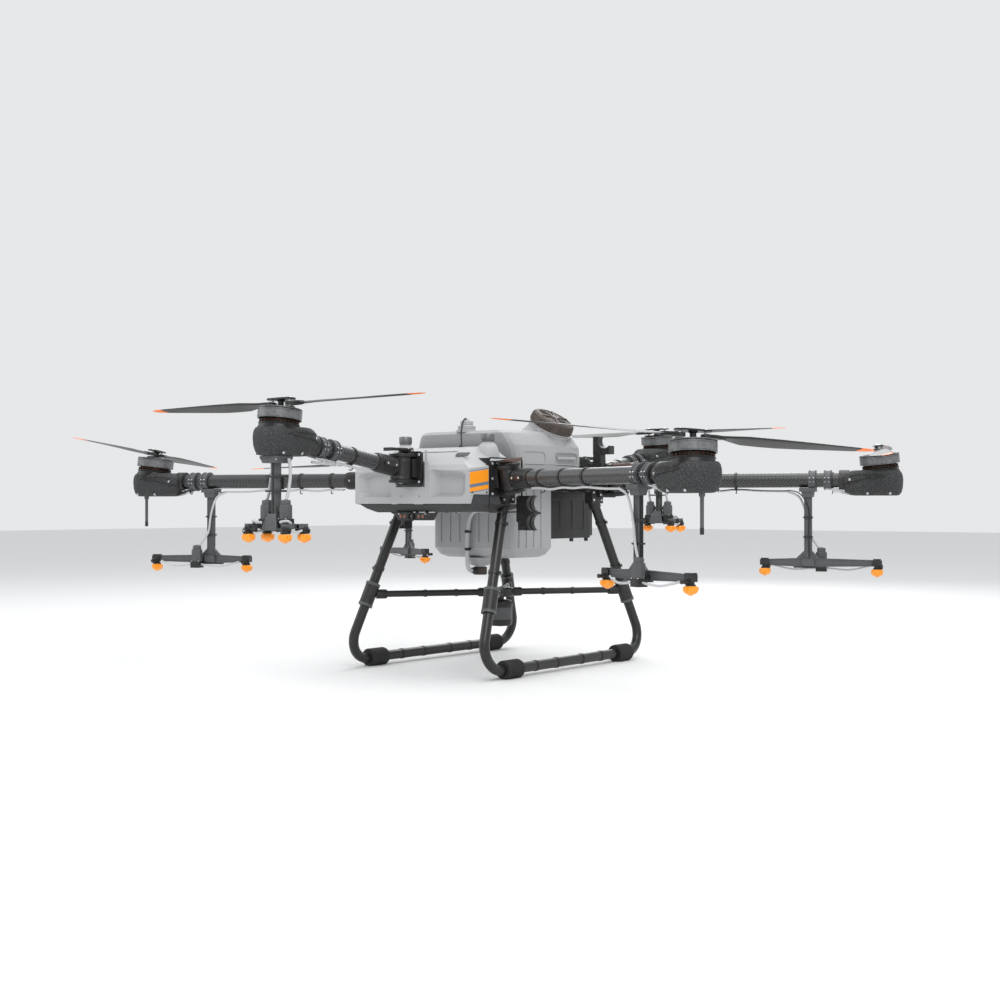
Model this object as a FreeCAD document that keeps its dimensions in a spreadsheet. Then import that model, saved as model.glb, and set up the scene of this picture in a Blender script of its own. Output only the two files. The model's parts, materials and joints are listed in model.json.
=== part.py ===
import FreeCAD, Part
import math
import os
import re
import Sketcher

# Six-arm agricultural spray drone, millimetres.
# Origin on the ground below the middle of the airframe; -Y is the nose, +Z is up.

os.makedirs("parts", exist_ok=True)
V = FreeCAD.Vector
doc = FreeCAD.newDocument("spray_drone")
sheet = doc.addObject("Spreadsheet::Sheet", "Sizes")

SIZES = {
    # side arms: hinge places, reach and height of the tube axis
    "hinge_offset": 42.5, "side_hinge_y": 255, "side_reach": 749, "arm_height": 530,
    "side_azimuth": 19.5, "front_rise": 14, "rear_drop": 13.5,
    # nose and tail arms
    "end_hinge_y": 425, "end_reach": 435, "end_height": 558, "end_slope": 8.5,
    # arm tubes and their hinges
    "tube_radius": 21, "tube_wall": 2.5, "knuckle_radius": 28, "knuckle_half": 30,
    "ear_thickness": 8, "ear_radius": 33, "ear_back": 40, "socket_plate": 5, "socket_width": 88,
    "socket_height": 96, "end_plate": 8, "end_plate_side": 92, "neck_width": 70, "neck_height": 50,
     "pin_radius": 7, "running_gap": 0.05, "gap": 0.6,
    "collar_radius": 25, "collar_end": 104, "side_gap": 1,
    # motor pods and motors, measured from the tube axis and the motor axis
    "pod_inboard": 104, "pod_outboard": 62, "pod_half_width": 55, "pod_below": 44, "pod_above": 26,
    "motor_height": 43, "end_motor_height": 43, "bell_radius": 54, "bell_depth": 28,
    "stator_radius": 50, "stator_depth": 13, "hub_half": 46, "hub_width": 26, "hub_depth": 7,
    "shaft_radius": 6, "blade_pivot": 32, "blade_pin": 4, "blade_reach": 450.6, "blade_root": 17,
    "tilt_inward": 5.0, "tilt_side": 4.1, "end_tilt_inward": 6.5, "blade_plane": 44,
    # spray booms under the arms
    "strut_inset": 196, "strut_width": 22, "strut_depth": 14, "strut_drop": 232,
    "plank_height": 24, "plank_depth": 8, "boom_foot": 24,
    "nozzle_inboard": 121, "nozzle_outboard": 188, "nozzle_drop": 256, "nozzle_radius": 17,
    "clamp_length": 46, "clamp_width": 62, "clamp_height": 66, "valve_radius": 15, "valve_side": 25,
    "cluster_drop": 214, "cluster_x": 65, "cluster_y": 31, "cluster_strut": 22,
    # landing gear
    "leg_radius": 14, "skid_radius": 14, "skid_x": 246, "skid_height": 24, "skid_reach": 470,
    "leg_foot_x": 240, "leg_foot_y": 360, "leg_inset": 15.5, "leg_top_y": 210,
    "leg_foot_z": 100, "leg_top_z": 478, "brace_height": 207, "brace_radius": 9.3,
    "sleeve_y": 264, "sleeve_length": 68, "skid_bend": 60, "sleeve_radius": 25.5,
    "radar_radius": 37, "radar_top": 184, "radar_depth": 75,
    # airframe, nose shell and tray
    "rail_clearance": 11.5, "rail_thickness": 9, "rail_height": 50, "rail_end": 300,
    "plate_holes_x": 300, "plate_holes_rise": 50, "plate_holes_z": 542, "plate_hole_radius": 3.2,
    "sleeve_flat": 1.5,
    "notch_depth": 64, "shell_clearance": 9.5, "shell_wall": 4, "shell_front": 389, "shell_bottom": 463,
    "shell_shoulder": 554, "shell_top": 622, "shell_back": 200, "shell_side_back": 306,
    "tray_half": 158, "tray_front": 384, "tray_back": 150, "tray_bottom": 441, "tray_depth": 21,
    # tank
    "tank_half": 186, "tank_low_half": 148, "tank_front": 150, "tank_rear": 160, "tank_top": 668,
    "tank_low_front": 136, "tank_low_rear": 69, "tank_bottom": 310, "tank_waist": 503,
    "tank_shoulder": 556, "tank_wall": 4, "outlet_y": 92, "hose_gap": 12, "cap_inset": 36, "cap_y": 55, "cap_radius": 65,
    "cap_depth": 34, "cap_z": 700, "cap_lean": 30, "neck_radius": 52, "neck_bore": 47,
    # battery bay
    "bay_half": 110, "bay_front": 84, "bay_rear": 300, "bay_bottom": 361, "bay_depth": 139,
    "bay_wall": 4, "battery_gap": 2, "battery_overhang": 22,
    # aerials
    "cradle_step": 8.5, "low_cradle_y": 167, "low_cradle_z": 438, "low_seat": 412, "seat_pitch": 52,
    "high_cradle_y": 200, "high_seat": 648, "cradle_depth": 34,
    "aerial_x": 151, "aerial_y": 242, "aerial_radius": 18.5, "aerial_top": 654,
}
# widths that follow the tank's
SIZES["rail_x"] = SIZES["tank_half"] + SIZES["rail_clearance"]
SIZES["side_hinge_x"] = SIZES["rail_x"] + SIZES["hinge_offset"]
SIZES["shell_half"] = SIZES["rail_x"] + SIZES["shell_clearance"]
SIZES["leg_top_x"] = SIZES["rail_x"] - SIZES["leg_inset"]
SIZES["cap_x"] = SIZES["tank_half"] - SIZES["cap_inset"]
for row, (alias, value) in enumerate(SIZES.items(), start=1):
    sheet.set("A%d" % row, alias)
    sheet.set("B%d" % row, str(value))
    sheet.setAlias("B%d" % row, alias)
doc.recompute()

WORD = re.compile(r"[a-z_][a-z_0-9]*")
nodes = []


def bound(text):
    """Expression text with every size word pointed at the sheet."""
    return WORD.sub(lambda m: "Sizes." + m.group(), str(text))


def tie(item, name, text):
    item.setExpression(name, bound(text))


def turn_to(axis):
    """Rotation that points a primitive's own Z along the given axis."""
    return FreeCAD.Rotation(V(0, 0, 1), V(*axis))


def locate(item, at, rotation=None):
    """Bind a primitive's corner or foot to expressions."""
    item.Placement = FreeCAD.Placement(V(), rotation or FreeCAD.Rotation())
    for letter, text in zip("xyz", at):
        tie(item, "Placement.Base." + letter, text)


def box(sides, at):
    """Box of three side expressions, centred on `at`."""
    item = doc.addObject("Part::Box", "Block")
    for name, text in zip(("Length", "Width", "Height"), sides):
        tie(item, name, text)
    locate(item, ["(%s) - (%s) / 2" % pair for pair in zip(at, sides)])
    return item


def rod(radius, length, foot, axis=(0, 0, 1)):
    """Cylinder that starts at `foot` and runs along `axis`."""
    item = doc.addObject("Part::Cylinder", "Rod")
    tie(item, "Radius", radius)
    tie(item, "Height", length)
    locate(item, foot, turn_to(axis))
    return item


def cone(low, high, length, foot, axis=(0, 0, 1)):
    item = doc.addObject("Part::Cone", "Cone")
    tie(item, "Radius1", low)
    tie(item, "Radius2", high)
    tie(item, "Height", length)
    locate(item, foot, turn_to(axis))
    return item


def fuse(*items):
    item = doc.addObject("Part::MultiFuse", "Join")
    item.Shapes = list(items)
    return item


def cut(base, *tools):
    item = doc.addObject("Part::Cut", "Cut")
    item.Base = base
    item.Tool = tools[0] if len(tools) == 1 else fuse(*tools)
    return item


def ring(outer, inner, length, foot, axis=(0, 0, 1)):
    """Plain bush: a rod with a bore right through."""
    return cut(rod(outer, length, foot, axis), rod(inner, length, foot, axis))


def node(label, items, placement=None):
    """One named sub-part: its solids side by side under one placement."""
    item = doc.addObject("Part::Compound", label)
    item.Label = label
    item.Links = list(items)
    item.Placement = placement or FreeCAD.Placement()
    nodes.append(item)
    return item


def outline(label, points, plane, depth, middle=True):
    """PartDesign body: a closed outline, each corner bound to the sheet, padded."""
    body = doc.addObject("PartDesign::Body", label)
    sketch = body.newObject("Sketcher::SketchObject", label + "_outline")
    face = [f for f in body.Origin.OriginFeatures if f.Role == plane][0]
    sketch.AttachmentSupport = [(face, "")]
    sketch.MapMode = "FlatFace"
    count = len(points)
    places = [V(100 * math.cos(2 * math.pi * i / count), 100 * math.sin(2 * math.pi * i / count), 0)
              for i in range(count)]
    for i in range(count):
        sketch.addGeometry(Part.LineSegment(places[i], places[(i + 1) % count]), False)
    for i in range(count):
        sketch.addConstraint(Sketcher.Constraint("Coincident", i, 2, (i + 1) % count, 1))
    for i, corner in enumerate(points):
        for kind, text, start in zip(("DistanceX", "DistanceY"), corner, (places[i].x, places[i].y)):
            mark = sketch.addConstraint(Sketcher.Constraint(kind, -1, 1, i, 1, start))
            sketch.setExpression("Constraints[%d]" % mark, bound(text))
    pad = body.newObject("PartDesign::Pad", label + "_pad")
    pad.Profile = sketch
    pad.Midplane = middle
    tie(pad, "Length", depth)
    body.Tip = pad
    return body


def pipe(points, radius, bend, bore=None):
    """Round tube along straight runs joined by tangent arcs."""
    places = [V(*p) for p in points]
    edges = []
    start = places[0]
    for i in range(1, len(places) - 1):
        back = (places[i - 1] - places[i]).normalize()
        ahead = (places[i + 1] - places[i]).normalize()
        half = back.getAngle(ahead) / 2
        reach = bend / math.tan(half)
        enter = places[i] + back * reach
        leave = places[i] + ahead * reach
        centre = places[i] + (back + ahead).normalize() * (bend / math.sin(half))
        middle = centre + (places[i] - centre).normalize() * bend
        edges += [Part.LineSegment(start, enter).toShape(), Part.Arc(enter, middle, leave).toShape()]
        start = leave
    edges.append(Part.LineSegment(start, places[-1]).toShape())
    path = Part.Wire(edges)
    def sweep(r):
        section = Part.Wire(Part.Circle(places[0], places[1] - places[0], r).toShape())
        return path.makePipeShell([section], True, False)
    shape = sweep(radius)
    if bore:
        shape = shape.cut(sweep(bore))
    item = doc.addObject("Part::Feature", "Pipe")
    item.Shape = shape
    return item


def loft(sections):
    """Solid through closed outlines, one list of points each."""
    wires = [Part.makePolygon([V(*p) for p in s] + [V(*s[0])]) for s in sections]
    item = doc.addObject("Part::Feature", "Loft")
    item.Shape = Part.makeLoft(wires, True, True)
    return item


def s(name):
    return SIZES[name]


# ---------------------------------------------------------------- arms

ARMS = {
    "front": {"side": 0, "azimuth": 270.0, "hand": 1, "blades": (359.0, 182.0)},
    "rear": {"side": 0, "azimuth": 90.0, "hand": 1, "blades": (180.0, 359.2)},
    "front_right": {"side": 1, "azimuth": -s("side_azimuth"), "hand": 1, "blades": (59.5, 240.6)},
    "rear_right": {"side": 1, "azimuth": s("side_azimuth"), "hand": -1, "blades": (296.6, 112.0)},
    "front_left": {"side": 1, "azimuth": 180 + s("side_azimuth"), "hand": -1, "blades": (117.6, 294.6)},
    "rear_left": {"side": 1, "azimuth": 180 - s("side_azimuth"), "hand": 1, "blades": (242.4, 62.0)},
}


def arm_place(arm):
    """Placement of an arm's own frame: hinge centre, X outward along the arm."""
    angle = math.radians(arm["azimuth"])
    if arm["side"]:
        x = math.copysign(s("side_hinge_x"), math.cos(angle))
        y = math.copysign(s("side_hinge_y"), math.sin(angle))
        base = V(x, y, s("arm_height"))
    else:
        base = V(0, math.copysign(s("end_hinge_y"), math.sin(angle)), s("end_height"))
    return FreeCAD.Placement(base, FreeCAD.Rotation(V(0, 0, 1), arm["azimuth"]))


def reach(arm):
    return s("side_reach") if arm["side"] else s("end_reach")


def tube_rise(arm):
    """Height of the tube axis above the hinge at the motor."""
    return 0 if arm["side"] else s("end_reach") * math.tan(math.radians(s("end_slope")))


def motor_place(arm):
    """Placement of a motor: foot of the bell's axis on the tube axis, leaning inward."""
    inward = s("tilt_inward") if arm["side"] else s("end_tilt_inward")
    sideways = s("tilt_side") * arm["hand"] if arm["side"] else 0
    lean = V(-math.tan(math.radians(inward)), math.tan(math.radians(sideways)), 1)
    height = s("motor_height") if arm["side"] else s("end_motor_height")
    seat = V(reach(arm), 0, tube_rise(arm) + height)
    turned = FreeCAD.Rotation(V(0, 0, 1), lean)
    return arm_place(arm).multiply(FreeCAD.Placement(seat, turned))


def hinge_lean(arm, name):
    """Lean of a side arm's hinge about the arm: nose-side arms stow high, tail-side arms low."""
    if not arm["side"]:
        return 0.0
    lift = s("front_rise") if name.startswith("front") else -s("rear_drop")
    return lift * arm["hand"]


def hinge_frame(arm, name):
    return FreeCAD.Placement(V(), FreeCAD.Rotation(V(1, 0, 0), hinge_lean(arm, name)))


def leaning(items, placement):
    """Group items under a leaning placement inside a node."""
    item = doc.addObject("Part::Compound", "Group")
    item.Links = list(items)
    item.Placement = placement
    return item


def arm_tube(name, arm):
    """Carbon tube with its hinge knuckle, root collar and end plug."""
    knuckle = ring("knuckle_radius", "pin_radius + running_gap", "2 * knuckle_half", ("0", "0", "-knuckle_half"))
    knuckle_group = leaning([knuckle], hinge_frame(arm, name))
    slope = 0 if arm["side"] else s("end_slope")
    outward = FreeCAD.Placement(V(), FreeCAD.Rotation(V(0, 1, 0), -slope))
    length = "side_reach + pod_outboard - 12" if arm["side"] else "end_reach + pod_outboard - 16"
    collar = ring("collar_radius", "tube_radius + gap / 10", "collar_end - knuckle_radius - gap",
                  ("knuckle_radius + gap", "0", "0"), (1, 0, 0))
    tube = ring("tube_radius", "tube_radius - tube_wall", length + " - knuckle_radius - 1",
                ("knuckle_radius + 1", "0", "0"), (1, 0, 0))
    lugs = fuse(collar, box(("20", "30", "34"), ("knuckle_radius + gap + 2", "0", "0")))
    hollow = cut(lugs, rod("knuckle_radius + 0.1", "2 * knuckle_half + 40", ("0", "0", "-knuckle_half - 20")),
                 rod("tube_radius + gap / 10", "side_reach", ("knuckle_radius + 0.9", "0", "0"), (1, 0, 0)))
    clips = [ring("tube_radius + 2", "tube_radius + gap / 10", "7", (str(at), "0", "0"), (1, 0, 0))
             for at in ((150, 250, 350, 620) if arm["side"] else (190, 300))]
    group = leaning([tube, hollow] + clips, outward)
    node("arm_tube_" + name, [knuckle_group, group], arm_place(arm))


def motor_pod(name, arm):
    """Moulded casing round the arm's end, the stator on top and a whip aerial below nose-side pods."""
    axis = reach(arm)
    rise = tube_rise(arm)
    low, high = rise - s("pod_below"), rise + s("pod_above")
    half = s("pod_half_width")
    inner, outer = axis - s("pod_inboard"), axis + s("pod_outboard")
    def section(z, grow_in, grow_out, width):
        corner = width * 0.45
        return [(grow_in, -corner, z), (grow_in + 40, -width, z), (grow_out - 38, -width, z),
                (grow_out, -corner, z), (grow_out, corner, z), (grow_out - 38, width, z),
                (grow_in + 40, width, z), (grow_in, corner, z)]
    body = loft([section(low, inner + 34, outer - 14, half - 14), section(low + 16, inner + 6, outer - 2, half - 2),
                 section(high - 22, inner, outer, half), section(high, inner + 26, outer - 5, half - 3)])
    slope = 0 if arm["side"] else s("end_slope")
    tunnel = rod("tube_radius + 0.2", "side_reach + 400", ("0", "0", "0"), (1, 0, 0))
    outward = leaning([tunnel], FreeCAD.Placement(V(), FreeCAD.Rotation(V(0, 1, 0), -slope)))
    casing = cut(body, outward)
    seat = motor_place(arm)
    local = arm_place(arm).inverse().multiply(seat)
    stator = leaning([rod("stator_radius", "stator_depth", ("0", "0", "-stator_depth")),
                      rod("shaft_radius", "bell_depth + 1", ("0", "0", "0"))], local)
    plinth = leaning([rod("stator_radius", "30", ("0", "0", "-stator_depth - 30"))], local)
    top = cut(fuse(casing, plinth), leaning([tunnel], FreeCAD.Placement(V(), FreeCAD.Rotation(V(0, 1, 0), -slope))))
    parts = [top, stator]
    if name in ("front_left", "front_right"):
        parts.append(rod("4.5", "92", (str(axis + 30), "0", str(low - 91.9))))
    node("motor_pod_" + name, parts, arm_place(arm))


def rotor(name, arm):
    """Spinning bell with the clamp that carries both blades."""
    bell = ring("bell_radius", "shaft_radius + running_gap", "bell_depth", ("0", "0", "gap"))
    cheek = box(("2 * hub_half", "hub_width", "4"), ("0", "0", "bell_depth + gap + 2"))
    top = box(("2 * hub_half", "hub_width", "4"), ("0", "0", "blade_plane + 7.5"))
    post = rod("11", "blade_plane - bell_depth + 6", ("0", "0", "bell_depth + gap"))
    pins = [rod("blade_pin", "blade_plane - bell_depth + 6", (sign + "blade_pivot", "0", "bell_depth + gap"))
            for sign in ("", "-")]
    body = fuse(bell, cheek, top, post, *pins)
    shaft = rod("shaft_radius + running_gap", "bell_depth + 3", ("0", "0", "-1"))
    node("rotor_" + name, [cut(body, shaft)], rotor_place(arm))


def rotor_place(arm):
    """The hub's long side follows the first blade's rest angle."""
    spin = FreeCAD.Rotation(V(0, 0, 1), arm["blades"][0] - arm["azimuth"])
    return motor_place(arm).multiply(FreeCAD.Placement(V(), spin))


BLADE_STATIONS = ((0.00, 11, -11, 7.0, 0), (0.07, 13, -13, 7.0, 4), (0.20, 17, -33, 6.0, 14),
                  (0.40, 17, -37, 5.0, 12), (0.70, 14, -28, 3.6, 8), (0.93, 10, -17, 2.6, 6), (1.00, 3, -9, 2.0, 5))


def blade(name, arm, letter, angle):
    """Tapered, twisted blade with an eye that turns on the clamp's pin."""
    span = s("blade_reach")
    sections = []
    for share, ahead, behind, thick, pitch in BLADE_STATIONS:
        x = 10 + (span - 10) * share
        points = []
        for across, up in ((ahead, 0), (ahead * 0.5, 0.5), (behind * 0.4, 0.5), (behind, 0),
                           (behind * 0.4, -0.5), (ahead * 0.5, -0.5)):
            y, z = across * arm_turn(arm), thick * up
            tilt = math.radians(pitch) * arm_turn(arm)
            points.append((x, y * math.cos(tilt) - z * math.sin(tilt), y * math.sin(tilt) + z * math.cos(tilt)))
        sections.append(points)
    wing = loft(sections)
    eye = rod("12", "8", ("0", "0", "-4"))
    solid = cut(fuse(wing, eye), rod("blade_pin + running_gap", "30", ("0", "0", "-15")))
    turn = FreeCAD.Rotation(V(0, 0, 1), angle - arm["azimuth"])
    first = arm["blades"][0] - arm["azimuth"] + (0 if letter == "a" else 180)
    offset = FreeCAD.Rotation(V(0, 0, 1), first).multVec(V(s("blade_pivot"), 0, s("blade_plane") - 4))
    node("blade_%s_%s" % (name, letter), [solid], motor_place(arm).multiply(FreeCAD.Placement(offset, turn)))


def arm_turn(arm):
    """Neighbouring rotors turn opposite ways."""
    order = ["front", "front_right", "rear_right", "rear", "rear_left", "front_left"]
    index = [key for key in order if ARMS[key] is arm][0]
    return 1 if order.index(index) % 2 == 0 else -1


def nozzle(x, y, z):
    """Spray nozzle: body, bayonet cap and tip, hanging from z."""
    return fuse(rod("nozzle_radius - 6", "18", (x, y, "(%s) - 2" % z)),
                rod("nozzle_radius", "14", (x, y, "(%s) - 15" % z)),
                cone("6", "nozzle_radius - 3", "6", (x, y, "(%s) - 21" % z)))


def side_boom(name, arm):
    """Clamp, strut, cross tube, valve and two nozzles below a side arm."""
    x = "side_reach - strut_inset"
    clamp = cut(box(("clamp_length", "clamp_width", "clamp_height"), (x, "0", "0")),
                rod("tube_radius + 0.2", "clamp_length + 4", (x + " - clamp_length / 2 - 2", "0", "0"), (1, 0, 0)))
    strut = box(("strut_width", "strut_depth", "strut_drop - clamp_height / 2 + 1"),
                (x, "0", "-(strut_drop + clamp_height / 2 - 1) / 2"))
    bar = box(("nozzle_inboard + nozzle_outboard + 16", "plank_depth", "plank_height"),
              (x + " + (nozzle_outboard - nozzle_inboard) / 2", "0", "-strut_drop"))
    foot = box(("boom_foot + 10", "boom_foot", "boom_foot"), (x, "0", "-strut_drop"))
    frame = fuse(clamp, strut, bar, foot,
                 nozzle(x + " - nozzle_inboard", "0", "-nozzle_drop + 8"),
                 nozzle(x + " + nozzle_outboard", "0", "-nozzle_drop + 8"))
    hand = arm["hand"]
    beside = "%d * valve_side" % -hand
    valve = rod("valve_radius", "52", (x + " + 34", beside, "-strut_drop - 8"))
    block = box(("2 * valve_radius", "2 * valve_radius", "20"), (x + " + 34", beside, "-strut_drop - 16"))
    node("spray_boom_" + name, [frame, fuse(valve, block)], arm_place(arm))


def cluster_boom(name, arm):
    """Strut under an end arm's pod that carries four nozzles in a cross."""
    rise = tube_rise(arm)
    top = str(rise - s("pod_below") - 0.3)
    x = str(s("end_reach") + 10)
    drop = str(rise - s("cluster_drop"))
    strut = box(("cluster_strut", "cluster_strut", "cluster_drop - pod_below - 0.3"),
                (x, "0", "(%s) + (%s) / 2" % (drop, "cluster_drop - pod_below - 0.3")))
    plate = box(("60", "60", "8"), (x, "0", top + " - 4"))
    hub = box(("40", "40", "22"), (x, "0", drop))
    arms = [box(("2 * cluster_y + 16", "10", "10"), (x, str(side) + " * cluster_x", drop)) for side in (-1, 1)]
    beam = box(("12", "2 * cluster_x", "12"), (x, "0", drop))
    low = "%s - 18" % drop
    nozzles = [nozzle("%s + (%d * cluster_y)" % (x, i), "%d * cluster_x" % j, low) for i in (-1, 1) for j in (-1, 1)]
    frame = fuse(strut, plate, hub, beam, *(arms + nozzles))
    valves = [rod("valve_radius", "52", (x, "%d * (cluster_strut / 2 + 8 + valve_radius)" % side, drop + " + 12"))
              for side in (-1, 1)]
    necks = [box(("14", "16", "14"), (x, "%d * (cluster_strut / 2 + 6)" % side, drop + " + 40")) for side in (-1, 1)]
    node("spray_boom_" + name, [fuse(frame, *(valves + necks))], arm_place(arm))


def lever_place(arm, name):
    """Lever hinge: above the upper ear, toward the airframe, square to the arm."""
    return arm_place(arm).multiply(hinge_frame(arm, name)).multiply(
        FreeCAD.Placement(V(-20, 0, s("knuckle_half") + s("ear_thickness") + 9), FreeCAD.Rotation()))


def lock_lever(name, arm):
    """Over-centre lever that lies on the root collar when locked."""
    barrel = ring("6", "3 + running_gap", "26", ("0", "-13", "0"), (0, 1, 0))
    plate = box(("64", "26", "5"), ("36", "0", "3"))
    grip = box(("10", "32", "9"), ("68", "0", "3"))
    solid = cut(fuse(plate, grip, rod("6", "26", ("0", "-13", "0"), (0, 1, 0))),
                rod("3 + running_gap", "40", ("0", "-20", "0"), (0, 1, 0)))
    node("lock_lever_" + name, [solid], lever_place(arm, name))


def socket(name, arm):
    """Hinge fork on the airframe: two ears, the pin, the lever's lugs and the plate behind them."""
    ears = []
    for low in ("knuckle_half + side_gap / 2", "-knuckle_half - side_gap / 2 - ear_thickness"):
        ears.append(rod("ear_radius", "ear_thickness", ("0", "0", low)))
        ears.append(box(("ear_back", "2 * ear_radius - 6", "ear_thickness"),
                        ("-ear_back / 2", "0", "(%s) + ear_thickness / 2" % low)))
    ears.append(rod("pin_radius", "2 * knuckle_half + side_gap + 2 * ear_thickness",
                    ("0", "0", "-knuckle_half - side_gap / 2 - ear_thickness")))
    for side in ("-18", "18"):
        ears.append(box(("14", "8", "18"), ("-20", side, "knuckle_half + ear_thickness + 8")))
    ears.append(rod("3", "36", ("-20", "-18", "knuckle_half + ear_thickness + 9"), (0, 1, 0)))
    placed = arm_place(arm)
    fork = leaning([fuse(*ears)], placed.multiply(hinge_frame(arm, name)))
    sign_y = 1 if placed.Base.y > 0 else -1
    if arm["side"]:
        sign_x = 1 if placed.Base.x > 0 else -1
        outer_face = "rail_x + rail_thickness / 2 + gap / 6"
        plate = box(("socket_plate", "socket_width", "socket_height"),
                    ("%d * (%s + socket_plate / 2)" % (sign_x, outer_face), "%d * side_hinge_y" % sign_y, "arm_height"))
        rail_room = box(("2 * (%s)" % outer_face, "2 * rail_end", "2 * socket_height"), ("0", "0", "arm_height"))
        return [cut(fuse(fork, plate), rail_room)]
    plate = box(("end_plate_side", "end_plate", "end_plate_side"),
                ("0", "%d * (end_hinge_y - ear_radius - 1)" % sign_y, "end_height"))
    inner = "rail_end + 8 + gap / 6"
    neck = box(("neck_width", "end_hinge_y - ear_radius - 1 - (%s)" % inner, "neck_height"),
               ("0", "%d * (end_hinge_y - ear_radius - 1 + %s) / 2" % (sign_y, inner), "end_height - 6"))
    return [fuse(fork, plate, neck)]


for arm_name, arm_data in ARMS.items():
    arm_tube(arm_name, arm_data)
    motor_pod(arm_name, arm_data)
    rotor(arm_name, arm_data)
    blade(arm_name, arm_data, "a", arm_data["blades"][0])
    blade(arm_name, arm_data, "b", arm_data["blades"][1])
    (side_boom if arm_data["side"] else cluster_boom)(arm_name, arm_data)
    lock_lever(arm_name, arm_data)
node("arm_sockets", [piece for key, data in ARMS.items() for piece in socket(key, data)])

# ---------------------------------------------------------------- airframe

def both(make):
    """The same piece on the right and the left."""
    return [make(side) for side in (1, -1)]


def corners(make):
    return [make(x, y) for x in (1, -1) for y in (1, -1)]


rails = both(lambda side: box(("rail_thickness", "2 * rail_end", "rail_height"),
                              ("%d * rail_x" % side, "0", "arm_height")))
ends = [box(("2 * rail_x + rail_thickness", "8", "rail_height + 36"),
            ("0", "%d * (rail_end + 4)" % side, "arm_height + 12")) for side in (1, -1)]
bolts = corners(lambda x, z: rod("plate_hole_radius", "20", (
    "%d * plate_holes_x / 2" % x, "rail_end - 4", "plate_holes_z + (%d) * plate_holes_rise / 2" % z), (0, 1, 0)))
node("center_frame", [cut(fuse(*(rails + ends)), *bolts)])

shell_outer = outline("nose_outer", (
    ("-shell_front", "shell_bottom"), ("-shell_front", "shell_shoulder"), ("-shell_front + 50", "shell_top - 20"),
    ("-shell_front + 92", "shell_top - 9"), ("-shell_back", "shell_top"), ("-shell_back", "shell_bottom")),
    "YZ_Plane", "2 * shell_half")
shell_inner = outline("nose_inner", (
    ("-shell_front + shell_wall", "shell_bottom - 5"), ("-shell_front + shell_wall", "shell_shoulder - 2"),
    ("-shell_front + 52", "shell_top - 25"), ("-shell_front + 93", "shell_top - shell_wall - 9"),
    ("-shell_back + 5", "shell_top - shell_wall"), ("-shell_back + 5", "shell_bottom - 5")),
    "YZ_Plane", "2 * (shell_half - shell_wall)")
side_window = box(("2 * shell_half + 20", "shell_side_back - shell_back + 40", "150"),
                  ("0", "-(shell_side_back + shell_back) / 2 + 20", "shell_bottom + 50"))
front_notch = box(("100", "notch_depth", "104"), ("0", "-shell_front", "end_height"))
frame_room = box(("2 * rail_x + rail_thickness + 2 * gap", "2 * rail_end + 16 + 2 * gap", "rail_height + 36 + 2 * gap"),
                 ("0", "0", "arm_height + 12"))
node("front_shell", [cut(cut(shell_outer, shell_inner), side_window, front_notch, frame_room)])

tray_block = outline("tray_outline", (
    ("-tray_front", "tray_bottom + tray_depth"), ("-tray_front + 14", "tray_bottom"),
    ("-tray_back - 14", "tray_bottom"), ("-tray_back", "tray_bottom + tray_depth")),
    "YZ_Plane", "2 * tray_half")
tray_hollow = box(("2 * tray_half - 8", "tray_front - tray_back - 30", "tray_depth"),
                  ("0", "-(tray_front + tray_back) / 2", "tray_bottom + tray_depth / 2 + 3"))
node("belly_tray", [cut(tray_block, tray_hollow)])

# ---------------------------------------------------------------- tank

def tank_section(z, half, front, rear, chamfer):
    return [(-half + chamfer, front, z), (half - chamfer, front, z), (half, front + chamfer, z),
            (half, rear - chamfer, z), (half - chamfer, rear, z), (-half + chamfer, rear, z),
            (-half, rear - chamfer, z), (-half, front + chamfer, z)]


def tank_body(inset):
    """Narrow well below, wide shoulders above; the same stations serve the outside and the hollow."""
    low, high = s("tank_low_half") - inset, s("tank_half") - inset
    stations = ((s("tank_bottom") + inset, low - 22, -s("tank_low_front") + 24 + inset, s("tank_low_rear") - 20 - inset),
                (s("tank_bottom") + 28, low, -s("tank_low_front") + inset, s("tank_low_rear") - inset),
                (s("tank_waist"), low, -s("tank_low_front") + inset, s("tank_low_rear") - inset),
                (s("tank_shoulder"), high, -s("tank_front") + inset, s("tank_rear") - inset),
                (s("tank_top") - 40, high, -s("tank_front") - 20 + inset, s("tank_rear") - inset),
                (s("tank_top") - inset, high - 26, -s("tank_front") - 30 + inset, s("tank_rear") - 26 - inset))
    return loft([tank_section(z, half, front, rear, 26) for z, half, front, rear in stations])


lean = (math.sin(math.radians(s("cap_lean"))), 0, math.cos(math.radians(s("cap_lean"))))
cap_low = ("cap_x - %f * cap_depth / 2" % lean[0], "cap_y", "cap_z - %f * cap_depth / 2" % lean[2])
neck_foot = ("cap_x - %f * 62" % lean[0], "cap_y", "cap_z - %f * 62" % lean[2])
neck_seat = ("cap_x - %f * (cap_depth / 2 + 0.4)" % lean[0], "cap_y", "cap_z - %f * (cap_depth / 2 + 0.4)" % lean[2])
neck = fuse(cone("neck_radius + 14", "neck_radius", "61 - cap_depth / 2", neck_foot, lean),
            rod("neck_radius", "8", neck_seat, lean))
bore = rod("neck_bore", "120", neck_foot, lean)
funnel = cone("26", "40", "24", ("0", "-outlet_y", "tank_bottom - 23"))
port = rod("29", "6", ("0", "-tank_front - 1", "tank_top - 0.5"))
node("spray_tank", [cut(fuse(tank_body(0), neck, funnel, port), tank_body(s("tank_wall")), bore)])
cap = cut(rod("cap_radius", "cap_depth", cap_low, lean),
          rod("neck_radius + 0.4", "8.6", ("cap_x - %f * (cap_depth / 2 + 0.2)" % lean[0], "cap_y",
                                           "cap_z - %f * (cap_depth / 2 + 0.2)" % lean[2]), lean))
node("tank_cap", [cap])
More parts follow.
